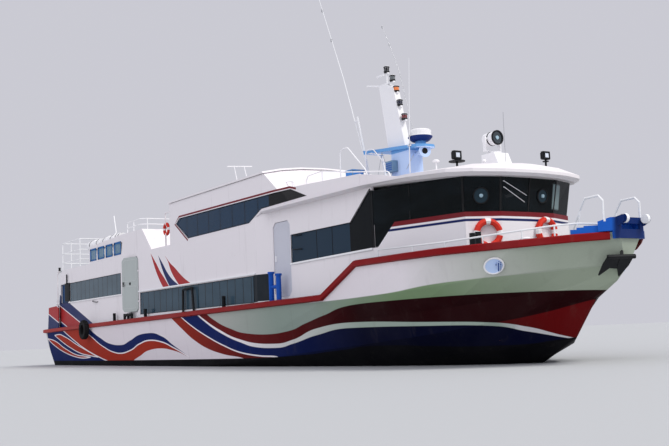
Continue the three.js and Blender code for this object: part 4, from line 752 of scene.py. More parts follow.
def strip_outline(points, half):
    """Outline of a strip along a run of side-view points, half wide on each side."""
    run = [Vector(point) for point in points]
    sides = [[], []]
    for i, here in enumerate(run):
        before, after = run[max(i - 1, 0)], run[min(i + 1, len(run) - 1)]
        step = (after - before).normalized()
        across = Vector((-step.y, step.x)) * half
        sides[0].append(here + across)
        sides[1].append(here - across)
    return [*sides[0], *reversed(sides[1])]


for name, side in SIDES:
    bm = bmesh.new()
    for x0, x1, z0, z1, deep, y in LEDGES:
        wall_y = (y - LET_IN) * side
        corners = [(x0, wall_y, z0), (x1, wall_y, z1), (x1, wall_y, z1 + deep), (x0, wall_y, z0 + deep)]
        add_panel(bm, corners, (0, LEDGE_DEPTH * side, 0), bevel=0.008)
    add_piece(f"window_ledges_{name}", bm, clean_white)
    bm = bmesh.new()
    outline = [(x, 2.449 * side, z) for x, z in strip_outline(RED_MOULDING, 0.028)]
    add_panel(bm, outline, (0, 0.006 * side, 0))
    add_piece(f"window_moulding_{name}", bm, maroon_paint)


# Doors: flush insulated aluminium leaves on hinges. The side doors have two pressed panels, a drop
# handle and a lock; the forward doors are plain, with a pressed edge and a white handle.
SIDE_DOOR_FACE = 2.465
FORE_DOOR_FACE = 2.274
SIDE_DOOR_HINGE = (-5.645, -2.478, 0)
AJAR = math.radians(13)
door_paint = weathered("door_paint", (0.44, 0.48, 0.47), grime=0.35, rust=0.15, gloss=0.4)
door_trim = weathered("door_trim", (0.52, 0.55, 0.54), grime=0.2, rust=0.1)
pale_door = weathered("pale_door_paint", (0.56, 0.57, 0.64), grime=0.2, rust=0.1, gloss=0.35)
dress(door_paint, *both("side_door"))
dress(pale_door, *both("fore_door"))
dress(white_paint, "aft_door", "upper_door")


def add_round_frame(bm, low, high, face_y, side, width, depth, corner=0.10):
    """A raised frame round a rounded rectangle on a leaf, given in side view."""
    (x0, z0), (x1, z1) = low, high
    loops = []
    for inset in (0.0, width):
        verts = []
        radius = corner - inset * 0.6
        shift = inset * 0.4
        for cx, cz, start in ((x1 - corner - shift, z1 - corner - shift, 0),
                              (x0 + corner + shift, z1 - corner - shift, 90),
                              (x0 + corner + shift, z0 + corner + shift, 180),
                              (x1 - corner - shift, z0 + corner + shift, 270)):
            for step in range(5):
                angle = math.radians(start + 22.5 * step)
                verts.append(bm.verts.new((
                    cx + radius * math.cos(angle), face_y * side, cz + radius * math.sin(angle))))
        loops += [bm.edges.new(pair) for pair in zip(verts, [*verts[1:], verts[0]])]
    faces = bmesh.ops.bridge_loops(bm, edges=loops)["faces"]
    grown = bmesh.ops.extrude_face_region(bm, geom=faces)["geom"]
    verts = [item for item in grown if isinstance(item, bmesh.types.BMVert)]
    bmesh.ops.translate(bm, verts=verts, vec=(0, depth * side, 0))


def add_flat_bar(bm, x0, x1, z0, z1, face_y, side, half, bevel):
    """A bar that lies along the leaf, half thick on each side of face_y."""
    add_box(bm, (x0, face_y * side - half, z0), (x1, face_y * side + half, z1), bevel, slot=1)


for name, side in SIDES:
    face = SIDE_DOOR_FACE
    bm = bmesh.new()
    for low, high in ((2.16, 3.02), (3.20, 4.02)):
        add_round_frame(bm, (-6.60, low), (-5.76, high), face, side, 0.022, 0.006)
    add_flat_bar(bm, -6.645, -6.545, 3.02, 3.20, face + 0.012, side, 0.012, 0.005)
    add_flat_bar(bm, -6.61, -6.44, 3.06, 3.085, face + 0.045, side, 0.010, 0.006)
    add_lathe(bm, [(0.0, 0.05), (0.018, 0.05), (0.018, 0.0)], (-6.595, face * side, 3.072),
              (0, side, 0), 12, 1)
    add_lathe(bm, [(0.0, 0.014), (0.05, 0.012), (0.056, 0.0)], (-6.17, face * side, 3.11),
              (0, side, 0), 16, 1)
    if name == "starboard":
        hinge = Matrix.Translation(SIDE_DOOR_HINGE)
        swing = hinge @ Matrix.Rotation(AJAR, 4, "Z") @ hinge.inverted()
        bmesh.ops.transform(bm, verts=bm.verts[:], matrix=swing)
    add_piece(f"side_door_furniture_{name}", bm, door_trim, black_paint, body=f"side_door_{name}")
    bm = bmesh.new()
    add_round_frame(bm, (4.50, 2.14), (5.28, 4.06), FORE_DOOR_FACE, side, 0.012, 0.003)
    add_flat_bar(bm, 4.47, 4.54, 3.05, 3.22, FORE_DOOR_FACE + 0.008, side, 0.008, 0.004)
    add_piece(f"fore_door_furniture_{name}", bm, pale_door, clean_white, body=f"fore_door_{name}")


# Boarding gear on the side deck: the black pipe frame before the middle window and the short black
# posts by the aft door, welded to the deck edge, and the hooks that hold the doors open.
frames = [[(-1.555, -2.52, 1.835), (-1.53, -2.52, 2.60), (-0.80, -2.52, 2.63), (-0.70, -2.52, 1.843)]]
posts = [[(x, -2.60, 1.77), (x, -2.60, 1.99)] for x in (-6.72, -6.36, -6.01)]
posts.append([(-6.72, -2.60, 1.93), (-6.01, -2.60, 1.94)])
hooks = [
    [(5.62, -2.302, 3.71), (5.62, -2.345, 3.71), (6.02, -2.345, 3.69), (6.02, -2.302, 3.69)],
    [(5.62, -2.302, 3.31), (5.62, -2.345, 3.31), (6.02, -2.345, 3.29), (6.02, -2.302, 3.29)],
    [(-10.60, -2.452, 2.70), (-10.60, -2.50, 2.66), (-10.10, -2.50, 2.60), (-10.02, -2.452, 2.62)],
]
add_rods("boarding_frames", on_both_sides(frames), 0.042, black_paint, bend=0.05)
add_rods("boarding_posts", on_both_sides(posts), 0.055, black_paint)
add_rods("door_hooks", on_both_sides(hooks), 0.014, black_paint, bend=0.02)


# Saloon seats: padded bench seats and backs in blue cloth on the CAD's pressed shells. One joined
# mesh a side, each pad crowned and pinched at its edges.
def seat_cloth(tree):
    place, _ = object_place(tree)
    weave = noise(tree, stretched(tree, place, (90.0, 90.0, 90.0)), 1.0, 1.0)
    return mix(tree, between(tree, weave, 0.35, 0.65), (0.015, 0.035, 0.10), (0.035, 0.070, 0.17))


cloth = weathered("seat_cloth", seat_cloth, grime=0.05, rust=0.0, gloss=0.8, ripple=1.0, shine=0.2)
seat_shell = weathered("seat_shell", (0.05, 0.055, 0.065), grime=0.1, rust=0.0, gloss=0.5)
dress(seat_shell, *both("saloon_seats"))
# Columns: x of the first row, number of rows
SEAT_BLOCKS = [(-13.90, 7), (-4.70, 9)]
SEAT_PITCH, SEAT_STEP, SEAT_BREADTH = 0.90, 0.448, 0.43
SEAT_CROWN, BACK_CROWN = 0.022, 0.018
BACK_LEAN = math.radians(-105.5)


def deck_height(x):
    """The deck's height: it rises steadily from the transom."""
    return 1.64 + (x + 16.7) * 0.0111


def add_pad(bm, low, high, turn, crown):
    """A stuffed pad: a box cut into cells, its middle raised and its edges drawn in."""
    start = len(bm.verts)
    size = Vector(high) - Vector(low)
    middle = (Vector(high) + Vector(low)) / 2
    matrix = Matrix.Translation(middle) @ Matrix.Diagonal((*size, 1))
    made = bmesh.ops.create_cube(bm, size=1, matrix=matrix)["verts"]
    edges = list({edge for vert in made for edge in vert.link_edges})
    bmesh.ops.subdivide_edges(bm, edges=edges, cuts=3, use_grid_fill=True)
    bm.verts.ensure_lookup_table()
    for vert in bm.verts[start:]:
        share = [(vert.co[k] - middle[k]) / (size[k] / 2) for k in range(3)]
        round_off = 1 - max(abs(share[0]) ** 4, abs(share[1]) ** 8)
        vert.co.z += math.copysign(crown * round_off, share[2]) - math.copysign(crown, share[2]) * 0.5
        vert.co.x -= share[0] * 0.012 * abs(share[2])
        vert.co = turn @ vert.co


for name, side in SIDES:
    bm = bmesh.new()
    for first, count in SEAT_BLOCKS:
        for row in range(count):
            x = first + row * SEAT_PITCH
            foot = deck_height(x) + 0.02
            for place_in_row in range(4):
                y0 = 0.46 + place_in_row * SEAT_STEP
                low_y, high_y = sorted((y0 * side, (y0 + SEAT_BREADTH) * side))
                add_pad(bm, (x + 0.10, low_y, foot + 0.402), (x + 0.49, high_y, foot + 0.46),
                        Matrix(), SEAT_CROWN)
                lean = Matrix.Translation((x + 0.085, 0, foot + 0.46)) @ Matrix.Rotation(BACK_LEAN, 4, "Y")
                add_pad(bm, (0.02, low_y, -0.028), (0.54, high_y, 0.018), lean, BACK_CROWN)
    pads = add_piece(f"saloon_cushions_{name}", bm, cloth, sharp=60)


# Open benches on the upper deck: moulded shells bolted to the deck, with slats of pale plastic
# screwed to their seats and backs.
BENCH_DECK, BENCH_PITCH = 4.27, 0.88
dress(weathered("bench_shell", (0.40, 0.42, 0.45), grime=0.3, rust=0.1, gloss=0.5), "upper_benches")
slat_plastic = weathered("bench_slats", (0.62, 0.63, 0.60), grime=0.3, rust=0.0, gloss=0.5)
bm = bmesh.new()
for row in range(5):
    x = -11.60 + row * BENCH_PITCH
    for side in (-1, 1):
        low_y, high_y = sorted((0.36 * side, 1.81 * side))
        for slat in range(4):
            left = x + 0.13 + slat * 0.075
            add_box(bm, (left, low_y, BENCH_DECK + 0.381), (left + 0.058, high_y, BENCH_DECK + 0.397), 0.004)
        for slat in range(3):
            z = BENCH_DECK + 0.47 + slat * 0.11
            back_x = x + 0.105 - (z - BENCH_DECK - 0.38) * 0.333
            add_box(bm, (back_x - 0.002, low_y, z), (back_x + 0.016, high_y, z + 0.075), 0.004)
add_piece("bench_slats", bm, slat_plastic)


# Bridge windows: black rubber pillars bedded on the joints of the panes, two clear-view screens with
# a spun ring and a lit hub, and two white wiper arms across the starboard front pane.
BRIDGE_PLAN = [(9.5, 2.30), (12.33, 1.69), (12.66, 0.86), (12.70, 0.0)]
LEAN = [0.15, 0.75, 1.0, 1.0]
SILL, HEAD = 3.57, 4.40
# Columns: face of the plan, share along it, half width, port side has it too
PILLARS = [(0, 0.985, 0.030, True), (1, 0.985, 0.035, True), (2, 0.985, 0.028, False),
           (0, 0.42, 0.020, True)]
# Columns: face of the plan, share along it, z, radius, on the port side
SCREENS = [(1, 0.44, 3.94, 0.20, False), (2, 0.50, 3.97, 0.18, True)]
# Columns: share and z of the pivot, share and z of the tip, all on the front face
WIPERS = [(0.06, 4.13, 0.80, 3.80), (0.05, 4.27, 0.86, 3.96)]
FRONT = 2


def bridge_point(face, share, z, proud=0.0):
    """A point on the starboard glass: a share of the way along a face of the bridge's plan."""
    height = (z - SILL) / (HEAD + 0.04 - SILL)
    ends = []
    for i in (face, face + 1):
        (x, y), lean = BRIDGE_PLAN[i], LEAN[i]
        inward = 0.022
        out_x = x - (0 if i == 0 else inward) + 0.15 * lean * height
        out_y = y - (0 if i == 3 else inward) + 0.15 * lean * height * y / 2.3
        ends.append(Vector((out_x, -out_y, z)))
    here = ends[0].lerp(ends[1], share)
    along = ends[1] - ends[0]
    outward = Vector((along.y, -along.x, 0)).normalized()
    if outward.x < 0:
        outward = -outward
    return here + outward * proud


def flipped(point):
    """The same on the port side."""
    return Vector((point.x, -point.y, point.z))


bm = bmesh.new()
for face, share, half, port_too in PILLARS:
    step = half / (Vector(BRIDGE_PLAN[face + 1]) - Vector(BRIDGE_PLAN[face])).length
    low, high = SILL + 0.01, HEAD + 0.02
    corners = [bridge_point(face, min(share + along, 1.0), z, 0.001)
               for along, z in ((-step, low), (step, low), (step, high), (-step, high))]
    outward = bridge_point(face, share, SILL, 0.011) - bridge_point(face, share, SILL, 0.001)
    add_panel(bm, corners, outward)
    if port_too:
        add_panel(bm, [flipped(corner) for corner in corners], flipped(outward))
add_piece("bridge_pillars", bm, black_rubber)

lit_hub = weathered("screen_hub", (0.35, 0.50, 0.58), grime=0.0, rust=0.0, gloss=0.2)
screen_tint = glass("screen_glass", (0.020, 0.040, 0.055), 1.0)
bm = bmesh.new()
for face, share, z, radius, on_port in SCREENS:
    middle = bridge_point(face, share, z)
    ahead = bridge_point(face, share, z, 1.0) - middle
    rise = (bridge_point(face, share, z + 0.2) - bridge_point(face, share, z - 0.2)).normalized()
    along = ahead.cross(rise).normalized()
    normal = rise.cross(along).normalized()
    if normal.dot(ahead) < 0:
        normal = -normal
    if on_port:
        middle, normal = flipped(middle), flipped(normal)
    inner = radius - 0.030
    rim = [(radius, -0.01), (radius, 0.030), (radius - 0.022, 0.034), (inner, 0.012)]
    pane = [(inner, 0.012), (0.03, 0.012)]
    hub = [(0.045, 0.012), (0.045, 0.040), (0.030, 0.048), (0.0, 0.050)]
    for slot, profile in enumerate((rim, pane, hub)):
        add_lathe(bm, profile, middle, normal, 28, slot)
add_piece("clear_view_screens", bm, black_rubber, screen_tint, lit_hub)

arms = []
for pivot, pivot_z, tip, tip_z in WIPERS:
    arms.append([bridge_point(FRONT, pivot, pivot_z, 0.005), bridge_point(FRONT, pivot, pivot_z, 0.03),
                 bridge_point(FRONT, tip, tip_z, 0.03), bridge_point(FRONT, tip, tip_z, 0.012)])
add_rods("wiper_arms", arms, 0.009, clean_white)
dress(weathered("console_grey", (0.06, 0.065, 0.07), grime=0.1, rust=0.0, gloss=0.5), "bridge_console")


# Roof cheeks: the upper cabin's side plates, of the same white aluminium, taper away along the edge
# of the bridge roof, to which they are welded.
ROOF_CHEEK = [(9.205, 4.61), (9.205, 4.905), (9.60, 4.84), (10.10, 4.755), (10.50, 4.66), (10.86, 4.60),
              (10.86, 4.57)]
for name, side in SIDES:
    bm = bmesh.new()
    add_panel(bm, [(x, 2.45 * side, z) for x, z in ROOF_CHEEK], (0, -0.06 * side, 0), bevel=0.004)
    add_piece(f"roof_cheek_{name}", bm, white_paint)


# Aerials on the roof of the forward house: white plastic mushrooms on thin stems and a small box
# aerial by the searchlight, all screwed to the roof.
# Columns: x, y, z of the foot, z of the top, radius
MUSHROOMS = [(10.905, -1.30, 4.70, 5.04, 0.085), (12.323, -1.0, 4.62, 4.82, 0.05),
             (10.905, 1.30, 4.70, 5.04, 0.085)]
bm = bmesh.new()
for x, y, foot, top, radius in MUSHROOMS:
    add_lathe(bm, [(0.02, foot), (0.018, top - 0.05), (0.014, top - 0.03), (radius, top - 0.03),
                   (radius * 1.04, top), (radius * 0.6, top + 0.025), (0.0, top + 0.03)], (x, y, 0), steps=20)
add_box(bm, (12.18, 1.06, 4.64), (12.34, 1.20, 4.72), 0.02)
add_box(bm, (12.24, 1.11, 4.71), (12.28, 1.15, 4.79), 0.012)
add_piece("roof_aerials", bm, clean_white)


# Rails on the roofs, all bent from thin white pipe and welded on: grab rails round the upper front,
# the shelter roof's rails, a raked pole beside the shelter and the aerial frame on the upper roof.
roof_rails = [
    [(6.25, -1.05, 4.90), (6.28, -1.05, 6.10), (6.44, -1.05, 6.157), (6.65, -1.05, 6.177),
     (7.56, -1.05, 5.34), (7.62, -1.05, 4.90)],
    [(6.62, -0.40, 4.90), (6.65, -0.40, 6.09), (6.80, -0.40, 6.12), (7.01, -0.40, 6.097),
     (7.75, -0.40, 5.40), (7.80, -0.40, 4.90)],
    [(4.05, -1.9, 5.06), (4.07, -1.9, 5.40), (4.24, -1.9, 5.457), (5.055, -1.9, 5.393), (5.10, -1.9, 5.00)],
    [(5.05, -1.5, 5.02), (5.10, -1.5, 5.42), (5.20, -1.5, 5.54), (5.975, -1.5, 5.565),
     (7.155, -1.5, 5.346), (9.20, -1.5, 5.04), (9.30, -1.5, 4.74)],
    [(5.975, -1.5, 5.565), (5.98, -1.5, 4.95)],
    [(4.95, -1.9, 5.40), (4.97, -1.9, 5.02)],
]
add_rods("roof_hand_rails", roof_rails, 0.017, clean_white, bend=0.12)

SHELTER_TOP = 5.12
RAIL_AFT, RAIL_FORE, RAIL_Y, CORNER_Y = -6.95, -5.50, 2.33, 2.10


def shelter_rail(z):
    """The bent part of a rail round three sides of the shelter's roof."""
    half = [(RAIL_AFT, RAIL_Y, z), (-5.72, RAIL_Y, z + 0.01), (RAIL_FORE, CORNER_Y, z + 0.01)]
    return [*[(x, -y, at_z) for x, y, at_z in half], *reversed(half)]


top_rail = [(RAIL_AFT, -RAIL_Y, SHELTER_TOP), *shelter_rail(5.54), (RAIL_AFT, RAIL_Y, SHELTER_TOP)]
shelter_rails = [
    top_rail,
    shelter_rail(5.33),
    *[[(-6.30, y, SHELTER_TOP), (-6.30, y, 5.545)] for y in (-RAIL_Y, RAIL_Y)],
    *[[(RAIL_FORE, y, SHELTER_TOP), (RAIL_FORE, y, 5.55)] for y in (-2.10, -1.05, 0.0, 1.05, 2.10)],
]
add_rods("shelter_roof_rails", shelter_rails, 0.019, clean_white, bend=0.06)
add_rods("roof_pole", [[(-9.20, -2.37, 4.86), (-9.20, -1.93, 5.40), (-9.506, -1.9, 6.143)]], 0.022,
         clean_white, bend=0.05)
add_rods("aerial_frame", [
    [(1.6, -1.95, 5.90), (1.6, -2.052, 6.404)],
    [(1.6, -1.58, 5.95), (1.6, -1.686, 6.425)],
    [(1.6, -2.305, 6.373), (1.6, -1.391, 6.426)],
], 0.015, clean_white)


# Boxes at the tower's foot: blue ventilator and cable boxes of folded sheet with lids, bolted to the
# roof abaft the tower, and a louvred box on the tower's side.
blue_paint = weathered("blue_paint", BLUE, grime=0.25, rust=0.35, gloss=0.4)
sky_paint = weathered("sky_paint", (0.06, 0.24, 0.62), grime=0.15, rust=0.1)
slate_paint = weathered("slate_paint", (0.16, 0.27, 0.40), grime=0.2, rust=0.1)
# Columns: aft end x, fore end x, starboard y, port y, top z, paint
ROOF_BOXES = [(6.22, 6.58, -0.85, -0.45, 5.56, 1), (6.90, 7.42, -0.80, -0.45, 5.27, 2)]
bm = bmesh.new()
add_box(bm, (7.60, -0.42, 5.30), (7.94, -0.236, 5.62), 0.015)
for step in range(4):
    z = 5.35 + step * 0.06
    add_box(bm, (7.63, -0.432, z), (7.91, -0.418, z + 0.028), 0.003, slot=2)
for x0, x1, y0, y1, top, slot in ROOF_BOXES:
    add_box(bm, (x0, y0, 4.80), (x1, y1, top - 0.035), 0.02, slot=slot)
    add_box(bm, (x0 - 0.02, y0 - 0.02, top - 0.04), (x1 + 0.02, y1 + 0.02, top), 0.012, slot=slot)
add_piece("tower_boxes", bm, slate_paint, sky_paint, blue_paint)


# Tower, mast and scanner: a pale blue tower and platform of welded plate, with white raked poles and
# mast plate. The scanner's plastic housing, bolted to the platform, is white over navy painted shade.
def tower_paint(tree):
    _, (x, y, z) = object_place(tree)
    off_centre = calc(tree, "ABSOLUTE", y)
    platform = inside(tree, z, 6.03, 6.15)
    poles = both_of(tree, under(tree, x, 6.86), calc(tree, "SUBTRACT", 1.0, platform))
    color = mix(tree, under(tree, z, 5.83), (0.14, 0.36, 0.70), PALE_BLUE)
    for mask in (poles, under(tree, 6.30, z), under(tree, 0.332, off_centre, 0.004)):
        color = mix(tree, mask, color, PIPE_WHITE)
    return color


def scanner_paint(tree):
    _, (_, _, z) = object_place(tree)
    # Painted shade: navy below z = 6.168, for the shade under the white housing's rim.
    return mix(tree, under(tree, z, 6.168), (0.82, 0.82, 0.84), (0.012, 0.030, 0.16))


dress(weathered("tower_paint", tower_paint, grime=0.15, rust=0.15), "mast_tower")
dress(weathered("scanner_paint", scanner_paint, grime=0.1, rust=0.05), "radome")
dress(clean_white, "mast", "upper_railing")


# Horn: the trumpet under the platform is spun from sheet and held by a strut. Its rim is pale blue
# and its throat is dark.
HORN_MOUTH, HORN_AXIS = (8.98, -0.09, 5.715), (0.9785, -0.206, 0)
bm = bmesh.new()
add_lathe(bm, [(0.160, -0.02), (0.174, 0.0), (0.176, 0.014), (0.160, 0.016), (0.085, 0.006)],
          HORN_MOUTH, HORN_AXIS, 28)
add_lathe(bm, [(0.086, 0.007), (0.05, 0.010), (0.0, 0.011)], HORN_MOUTH, HORN_AXIS, 28, slot=1)
add_piece("horn_mouth", bm, pale_blue_paint, black_paint)


# Mast lamps: navigation lamps one above the other, each a ribbed coloured lens of plastic between a
# black base and a black lid, screwed to its own bracket.
# Columns: x, z of the foot, radius, height, lens
LAMPS = [(7.31, 8.30, 0.075, 0.200, 1), (7.57, 7.99, 0.075, 0.190, 2), (7.72, 7.64, 0.080, 0.190, 3),
         (7.86, 7.21, 0.075, 0.190, 4), (8.04, 6.77, 0.075, 0.190, 5)]
# Columns: name, colour, glow
LENSES = [("dark", (0.015, 0.016, 0.02), 0.0), ("clear", (0.12, 0.14, 0.15), 0.0),
          ("amber", (0.75, 0.20, 0.03), 0.15), ("night", (0.012, 0.015, 0.04), 0.0),
          ("red", (0.16, 0.008, 0.012), 0.0)]
lenses = [weathered(f"lens_{hue}", color, grime=0.1, rust=0.0, gloss=0.15, glow=glow)
          for hue, color, glow in LENSES]
bm = bmesh.new()
for x, z, radius, h, lens in LAMPS:
    r = radius + 0.004
    add_lathe(bm, [(0.0, -0.004), (r * 0.95, -0.004), (r * 0.95, h * 0.10), (r * 1.12, h * 0.14),
                   (r * 1.12, h * 0.22), (r * 0.9, h * 0.24)], (x, 0, z), steps=20)
    ribs = [(r * 0.9, h * 0.24)]
    for rib in range(5):
        ribs += [(r * 1.0, h * (0.28 + rib * 0.1)), (r * 0.93, h * (0.33 + rib * 0.1))]
    add_lathe(bm, [*ribs, (r * 0.9, h * 0.76)], (x, 0, z), steps=20, slot=lens)
    add_lathe(bm, [(r * 0.9, h * 0.76), (r * 1.14, h * 0.78), (r * 1.14, h * 0.86), (r * 0.8, h * 0.98),
                   (r * 0.3, h * 1.05), (0.0, h * 1.06)], (x, 0, z), steps=20)
add_piece("mast_lamps", bm, black_paint, *lenses)


# Wires and rods on the mast: the searchlight's whip, the raked wire aerial, the strut under the horn
# and thin stays, all of grey metal. Insulators are threaded on them.
add_rods("thin_aerials", [
    [(12.0, 0.0, 4.9), (12.015, 0.0, 6.15)],
    [(8.406, 0.0, 6.38), (7.879, 0.0, 8.29), (7.195, 0.0, 9.73)],
    [(8.35, -0.26, 5.30), (8.62, -0.20, 5.66)],
    [(6.86, -0.30, 4.80), (7.30, -0.30, 5.95)],
    [(7.30, -0.30, 5.95), (7.62, -0.25, 5.10)],
], 0.006, grey_metal)
# Columns: x, y, z, radius, height
INSULATORS = [(7.195, 0, 9.70, 0.020, 0.08), (7.50, 0, 9.09, 0.022, 0.07), (5.00, -0.33, 9.86, 0.03, 0.10),
              (4.55, -0.33, 10.94, 0.03, 0.10), (8.69, -0.361, 6.16, 0.024, 0.06),
              (8.672, -0.361, 5.92, 0.026, 0.07)]
bm = bmesh.new()
for x, y, z, radius, height in INSULATORS:
    add_lathe(bm, [(0.0, -height / 2), (radius * 0.6, -height / 2), (radius, -height / 4), (radius * 0.7, 0),
                   (radius, height / 4), (radius * 0.6, height / 2), (0.0, height / 2)], (x, y, z), steps=12)
add_piece("aerial_insulators", bm, grey_metal)


# Searchlight: a white spun drum with a black front ring, a bright dished reflector and a lit lamp, on
# a white yoke that turns on its bolted pedestal.
dress(clean_white, "searchlight_pedestal", "searchlight_yoke", "searchlight_head")
reflector = weathered("reflector", (0.10, 0.12, 0.13), grime=0.0, rust=0.0, gloss=0.12, metallic=0.9)
bm = bmesh.new()
front, ahead = (11.735, 0, 5.56), (1, 0, 0)
add_lathe(bm, [(0.172, 0.0), (0.186, 0.006), (0.186, 0.045), (0.165, 0.050), (0.150, 0.036),
               (0.150, 0.012)], front, ahead, 32)
add_lathe(bm, [(0.150, 0.018), (0.09, 0.010), (0.0, 0.007)], front, ahead, 32, slot=1)
add_lathe(bm, [(0.052, 0.008), (0.048, 0.030), (0.0, 0.036)], front, ahead, 20, slot=2)
add_lathe(bm, [(0.168, -0.20), (0.178, -0.19), (0.178, -0.17), (0.168, -0.16)], front, ahead, 32)
add_piece("searchlight_front", bm, black_paint, reflector, lit_hub, body="searchlight_head")


# Flood lights: black cast housings with cooling fins, clamped to their stems, each with a square lit
# glass behind a black frame.
dress(black_paint, *both("flood_light"))
flood_glass = weathered("flood_glass", (0.55, 0.60, 0.68), grime=0.05, rust=0.0, gloss=0.2, glow=0.25)
FLOOD_FACE = 11.943
FLOOD_HEIGHTS = {"starboard": 4.995, "port": 5.172}
# Corners of the frame's four bars, from the middle of the glass
FLOOD_FRAME = [((-0.105, 0.060), (0.105, 0.100)), ((-0.105, -0.100), (0.105, -0.060)),
               ((-0.105, -0.07), (-0.065, 0.07)), ((0.065, -0.07), (0.105, 0.07))]
for name, side in SIDES:
    z = FLOOD_HEIGHTS[name]
    bm = bmesh.new()
    y = 1.48 * side
    for low, high in FLOOD_FRAME:
        add_box(bm, (FLOOD_FACE, y + low[0], z + low[1]),
                (FLOOD_FACE + 0.025, y + high[0], z + high[1]), 0.008)
    add_box(bm, (FLOOD_FACE, y - 0.066, z - 0.061), (FLOOD_FACE + 0.012, y + 0.066, z + 0.061), 0.004, slot=1)
    for fin in range(7):
        left = y - 0.09 + fin * 0.03
        add_box(bm, (11.815, left - 0.005, z - 0.08), (11.857, left + 0.005, z + 0.08), 0.003)
    add_piece(f"flood_light_front_{name}", bm, black_paint, flood_glass)


# Life buoys: orange foam rings with four white bands, hung in hooks on the bridge front and by the
# upper cabin. The bands are painted by their angle round each ring's own middle.
BUOY_ORANGE, BUOY_WHITE = (0.62, 0.035, 0.02), (0.82, 0.80, 0.80)


def buoy_paint(name):
    """Paint for that ring, which lies in an upright plane through the diagonal of its box."""
    low, high = [Vector(corner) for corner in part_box(name)]
    middle = (low + high) / 2
    wide = high - low
    along = Vector((wide.x, wide.y * (-1 if "port" in name else 1), 0)).normalized()

    def paint(tree):
        _, (x, y, z) = object_place(tree)
        off_x, off_y, off_z = [calc(tree, "SUBTRACT", value, at) for value, at in zip((x, y, z), middle)]
        flat = calc(tree, "MULTIPLY_ADD", off_x, along.x, calc(tree, "MULTIPLY", off_y, along.y))
        angle = calc(tree, "ARCTAN2", off_z, flat)
        quarter = calc(tree, "FRACT", calc(tree, "MULTIPLY_ADD", angle, 2 / math.pi, 4.5))
        from_band = calc(tree, "ABSOLUTE", calc(tree, "SUBTRACT", quarter, 0.5))
        return mix(tree, under(tree, from_band, 0.13, 0.02), BUOY_ORANGE, BUOY_WHITE)
    return paint


for name in ("life_buoy_fore_starboard", "life_buoy_fore_port", "life_buoy_aft"):
    dress(weathered(f"{name}_paint", buoy_paint(name), grime=0.1, rust=0.0, gloss=0.5), name)


# Life rafts: white canisters of moulded plastic, each in two halves with a seam flange, lashed in
# their cradles with black webbing straps.
dress(clean_white, *both("life_rafts"))
# Columns: aft end x, length
RAFTS = [(-11.67, 1.5), (-10.06, 1.5), (-8.45, 0.5)]
RAFT_Y, RAFT_Z = 2.12, 5.075
SEAM = [(0.206, -0.025), (0.222, -0.022), (0.222, 0.022), (0.206, 0.025)]
STRAP = [(0.206, -0.020), (0.211, -0.018), (0.211, 0.018), (0.206, 0.020)]
for name, side in SIDES:
    bm = bmesh.new()
    for x, length in RAFTS:
        for share, profile, slot in ((0.5, SEAM, 0), (0.22, STRAP, 1), (0.78, STRAP, 1)):
            add_lathe(bm, profile, (x + length * share, RAFT_Y * side, RAFT_Z), (1, 0, 0), 28, slot)
    add_piece(f"life_raft_bands_{name}", bm, clean_white, black_rubber)


# Tyre: a worn car tyre of black rubber with a grooved tread, hung from the side deck by a short
# strap over the rubbing rail.
TYRE_MIDDLE = Vector((-10.56, -2.8853, 1.49))
TREAD_BLOCKS = 28
dress(black_rubber, "tyre_fender")
bm = bmesh.new()
for block in range(TREAD_BLOCKS):
    turn = Matrix.Translation(TYRE_MIDDLE) @ Matrix.Rotation(block / TREAD_BLOCKS * 2 * math.pi, 4, "Y")
    add_box(bm, (0.378, -0.075, -0.022), (0.396, 0.075, 0.022), 0.005, turn=turn)
add_piece("tyre_tread", bm, black_rubber)
# Columns: y, z
STRAP_RUN = [(-2.72, 1.74), (-2.80, 1.86), (-2.88, 1.895), (-2.95, 1.865), (-2.955, 1.75), (-2.90, 1.70)]
add_rods("tyre_hanger", [[(TYRE_MIDDLE.x, y, z) for y, z in STRAP_RUN]], 0.012, black_rubber, bend=0.03)


# Shelter openings: a blue frame of folded sheet, screwed round each opening, holds a pane of clear
# rigid plastic.
SLITS, SLIT_PITCH = 4, 0.93
FIRST_SLIT = -11.0
# Lower and upper corner of each bar of the frame, x from the opening's aft end
SHELTER_FRAME = [((-0.03, 4.37), (0.10, 4.86)), ((0.66, 4.37), (0.72, 4.86)),
                 ((-0.03, 4.80), (0.72, 4.88)), ((-0.03, 4.36), (0.72, 4.42))]
frame_blue = weathered("shelter_frame_blue", (0.022, 0.12, 0.34), grime=0.2, rust=0.0, gloss=0.7)
clear_pane = glass("shelter_pane", (0.13, 0.25, 0.36), 0.75)
for name, side in SIDES:
    y = 2.402 * side
    bm = bmesh.new()
    for slit in range(SLITS):
        x = FIRST_SLIT + SLIT_PITCH * slit
        for (x0, z0), (x1, z1) in SHELTER_FRAME:
            bar = [(x + x0, y, z0), (x + x1, y, z0), (x + x1, y, z1), (x + x0, y, z1)]
            add_panel(bm, bar, (0, 0.012 * side, 0), bevel=0.003)
        pane = [(x, y, 4.40), (x + 0.69, y, 4.40), (x + 0.69, y, 4.83), (x, y, 4.83)]
        add_panel(bm, pane, (0, 0.004 * side, 0), slot=1)
    add_piece(f"shelter_frames_{name}", bm, frame_blue, clear_pane)


